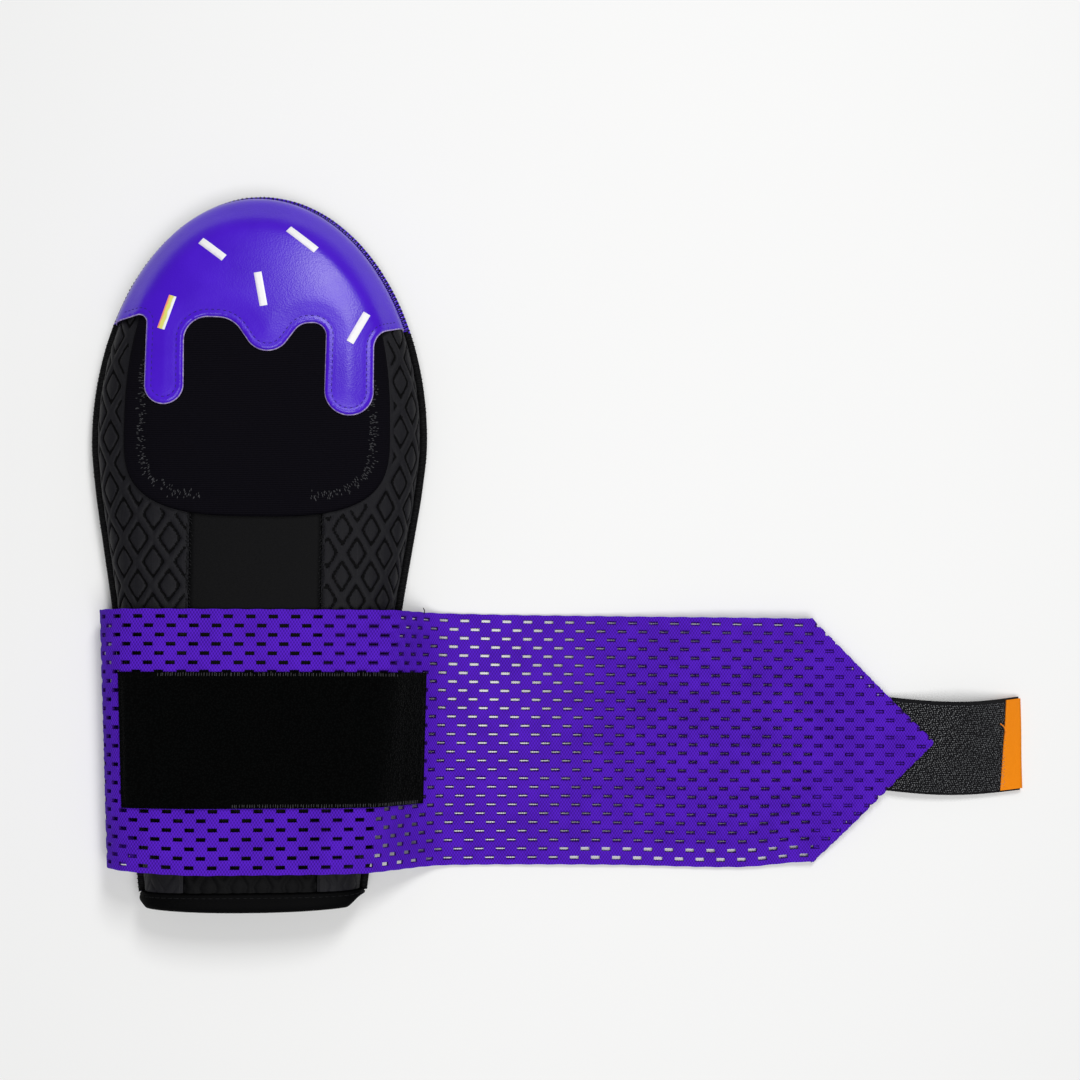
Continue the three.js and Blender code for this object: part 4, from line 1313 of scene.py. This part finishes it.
def hook_tab(course):
    s, w = grid(np.linspace(0.0, course.length, 80), np.linspace(TAB_HALF, -TAB_HALF, 26))
    half = TAB_THICKNESS / 2 * (0.7 + 0.3 * smoothstep(0.0, 0.8, TAB_HALF - np.abs(w)))
    tape = shell(course.point(s, w, half), course.point(s, w, -half), grid_faces(*s.shape)[:, ::-1])
    points, faces, source = joined(tape[:2], hooks(course))
    uv = np.zeros((len(points), 2))
    uv[:2 * s.size] = two_layers(s, w)
    looks = [LOOKS.tape, LOOKS.hook]
    return piece("hook_tab_tape", (points, faces), looks, "hook_tape", "hook_tab", uv=uv, slots=source)


def hooks(course):
    """Small hooks in slanting rows over the tab between its selvages."""
    reach = TAB_HALF - HOOK.border
    rows = np.arange(HOOK.first, course.length - LABEL.far, HOOK.pitch_s)
    s, w = grid(rows, np.arange(-reach, reach, HOOK.pitch_w))
    s = (s - HOOK.slant * w % HOOK.pitch_s + RNG.normal(0.0, 0.06, s.shape)).ravel()
    w = (w + RNG.normal(0.0, 0.05, w.shape)).ravel()
    low = TAB_THICKNESS / 2 - 0.05
    place = course.point(s, w, low)
    up = course.point(s, w, low + 1.0) - place
    ahead = unit(course.point(s + 0.4, w, low) - place)
    lean = RNG.normal(-0.5, 0.25, len(s)) + np.where(RNG.random(len(s)) < 0.5, 0.0, math.pi)
    heading = ahead * np.cos(lean)[:, None] + np.cross(up, ahead) * np.sin(lean)[:, None]
    bent = np.array([(row.x, 0.0, row.z * HOOK.height) for row in rows_of(HOOK_BEND)])
    return scatter(*tube(bent, HOOK.thread, 3), place, heading, up)


def end_label(course):
    """A plain woven label folded round the tab's end, wider towards the wrist, and its sewing thread."""
    fold = np.linspace(0.0, math.pi, 13)
    flat = np.linspace(1.0, 0.03, 16)
    back = np.concatenate([flat, np.zeros(len(fold)), flat[::-1]])
    turn = np.concatenate([np.zeros(len(flat)), fold, np.full(len(flat), math.pi)])
    w = np.linspace(LABEL.half_width, -LABEL.half_width, 40)
    size = np.interp(w, w[::-1][[0, -1]], (LABEL.near, LABEL.far))
    s = course.length - back[:, None] * size[None, :]
    turns, rows = grid(turn, w)
    low = TAB_THICKNESS / 2 + 0.12 + 0.08 * np.sin(rows / 5.0)
    layers = [course.point(s, rows, low + lift, turns) for lift in (LABEL.thickness, 0.0)]
    mesh = shell(*layers, grid_faces(*s.shape)[:, ::-1])
    along = np.repeat(np.linspace(0.0, 2.5 * LABEL.near, len(back)), len(w))
    uv = two_layers(along, rows)
    label = piece("end_label_cloth", mesh, [LOOKS.label], "orange_label", "end_label", uv=uv)
    top = TAB_THICKNESS / 2 + LABEL.thickness + 0.25
    end = course.point(course.length - size[16] + 0.2, w[16], top)
    tail = centripetal(end + np.array([(0, 0, 0), (0.1, 2.2, 0.5), (-0.6, 4.2, 0.9), (-2.1, 5.6, 0.7)]), 8)
    return [label, piece("label_thread", tube(tail, 0.24, 6), [LOOKS.orange_thread], "orange_label")]


def loose_threads():
    """A dark thread end at the strap's far edge, and a fray at its near corner."""
    end = centripetal([(65.4, -69.6, 8.2), (65.8, -68.2, 8.6), (65.3, -66.9, 8.4)], 6)
    piece("dark_thread_end", tube(end, 0.2, 5), [LOOKS.black_thread], "overlock_thread")
    root = np.array([223.2, -167.6, 1.5])
    frays = []
    for reach in ((0.6, -1.0, -0.3), (1.2, -2.2, -0.7), (0.1, -1.5, -0.5), (1.8, -0.9, -0.4)):
        path = root + np.outer((0.0, 0.5, 1.0), reach) + np.outer((0.0, 0.3, 0.0), (1.0, 0.4, 0.0))
        frays.append(tube(centripetal(path, 5), 0.14, 4))
    return piece("strap_fray", joined(*frays), [LOOKS.mesh], "purple_mesh")


# Camera, table and lights

def make_camera():
    data = bpy.data.cameras.new("camera")
    data.lens = CAMERA_LENS
    data.sensor_width = 36.0
    data.clip_start = 0.01
    camera = bpy.data.objects.new("camera", data)
    turn = Matrix.Identity(3)
    for axis, degrees in CAMERA_TURN.items():
        turn = turn @ Matrix.Rotation(math.radians(degrees), 3, axis)
    camera.matrix_world = Matrix.Translation(CAMERA_PLACE) @ turn.transposed().to_4x4()
    bpy.context.scene.collection.objects.link(camera)
    bpy.context.scene.camera = camera


def make_table():
    corners = np.array([(-1, -1, 0), (1, -1, 0), (1, 1, 0), (-1, 1, 0)]) * TABLE_HALF
    mesh_object("table", corners, [(0, 1, 2, 3)], [LOOKS.table])


def area_light(name, place, width, height, power):
    data = bpy.data.lights.new(name, "AREA")
    data.shape = "RECTANGLE"
    data.size = width
    data.size_y = height
    data.energy = power
    lamp = bpy.data.objects.new(name, data)
    away = Vector(place) - Vector(LIGHT_TARGET)
    lamp.matrix_world = Matrix.Translation(place) @ away.to_track_quat("Z", "Y").to_matrix().to_4x4()
    bpy.context.scene.collection.objects.link(lamp)


def make_lights():
    scene = bpy.context.scene
    world = bpy.data.worlds.new("studio")
    world.use_nodes = True
    background = world.node_tree.nodes["Background"]
    background.inputs["Color"].default_value = (1.0, 1.0, 1.0, 1.0)
    background.inputs["Strength"].default_value = SKY
    scene.world = world
    for light in LIGHTS:
        area_light(**light)
    scene.view_settings.view_transform = "Standard"
    scene.view_settings.look = "None"


def make_mitt():
    palm_panel()
    side_panel(-1.0)
    side_panel(1.0)
    centre_panel()
    overlocked_edge()
    cuff_hem()
    panel_stitches()
    hand_pad()
    pad_stitches()
    finger_cap()
    cap_stitches()
    sprinkles()
    course = StrapCourse()
    strap, length, area = wrist_strap(course)
    carried = loop_panel(course)
    tab_course = TabCourse()
    carried += [hook_tab(tab_course), *end_label(tab_course), loose_threads()]


make_camera()
make_lights()
make_mitt()
make_table()
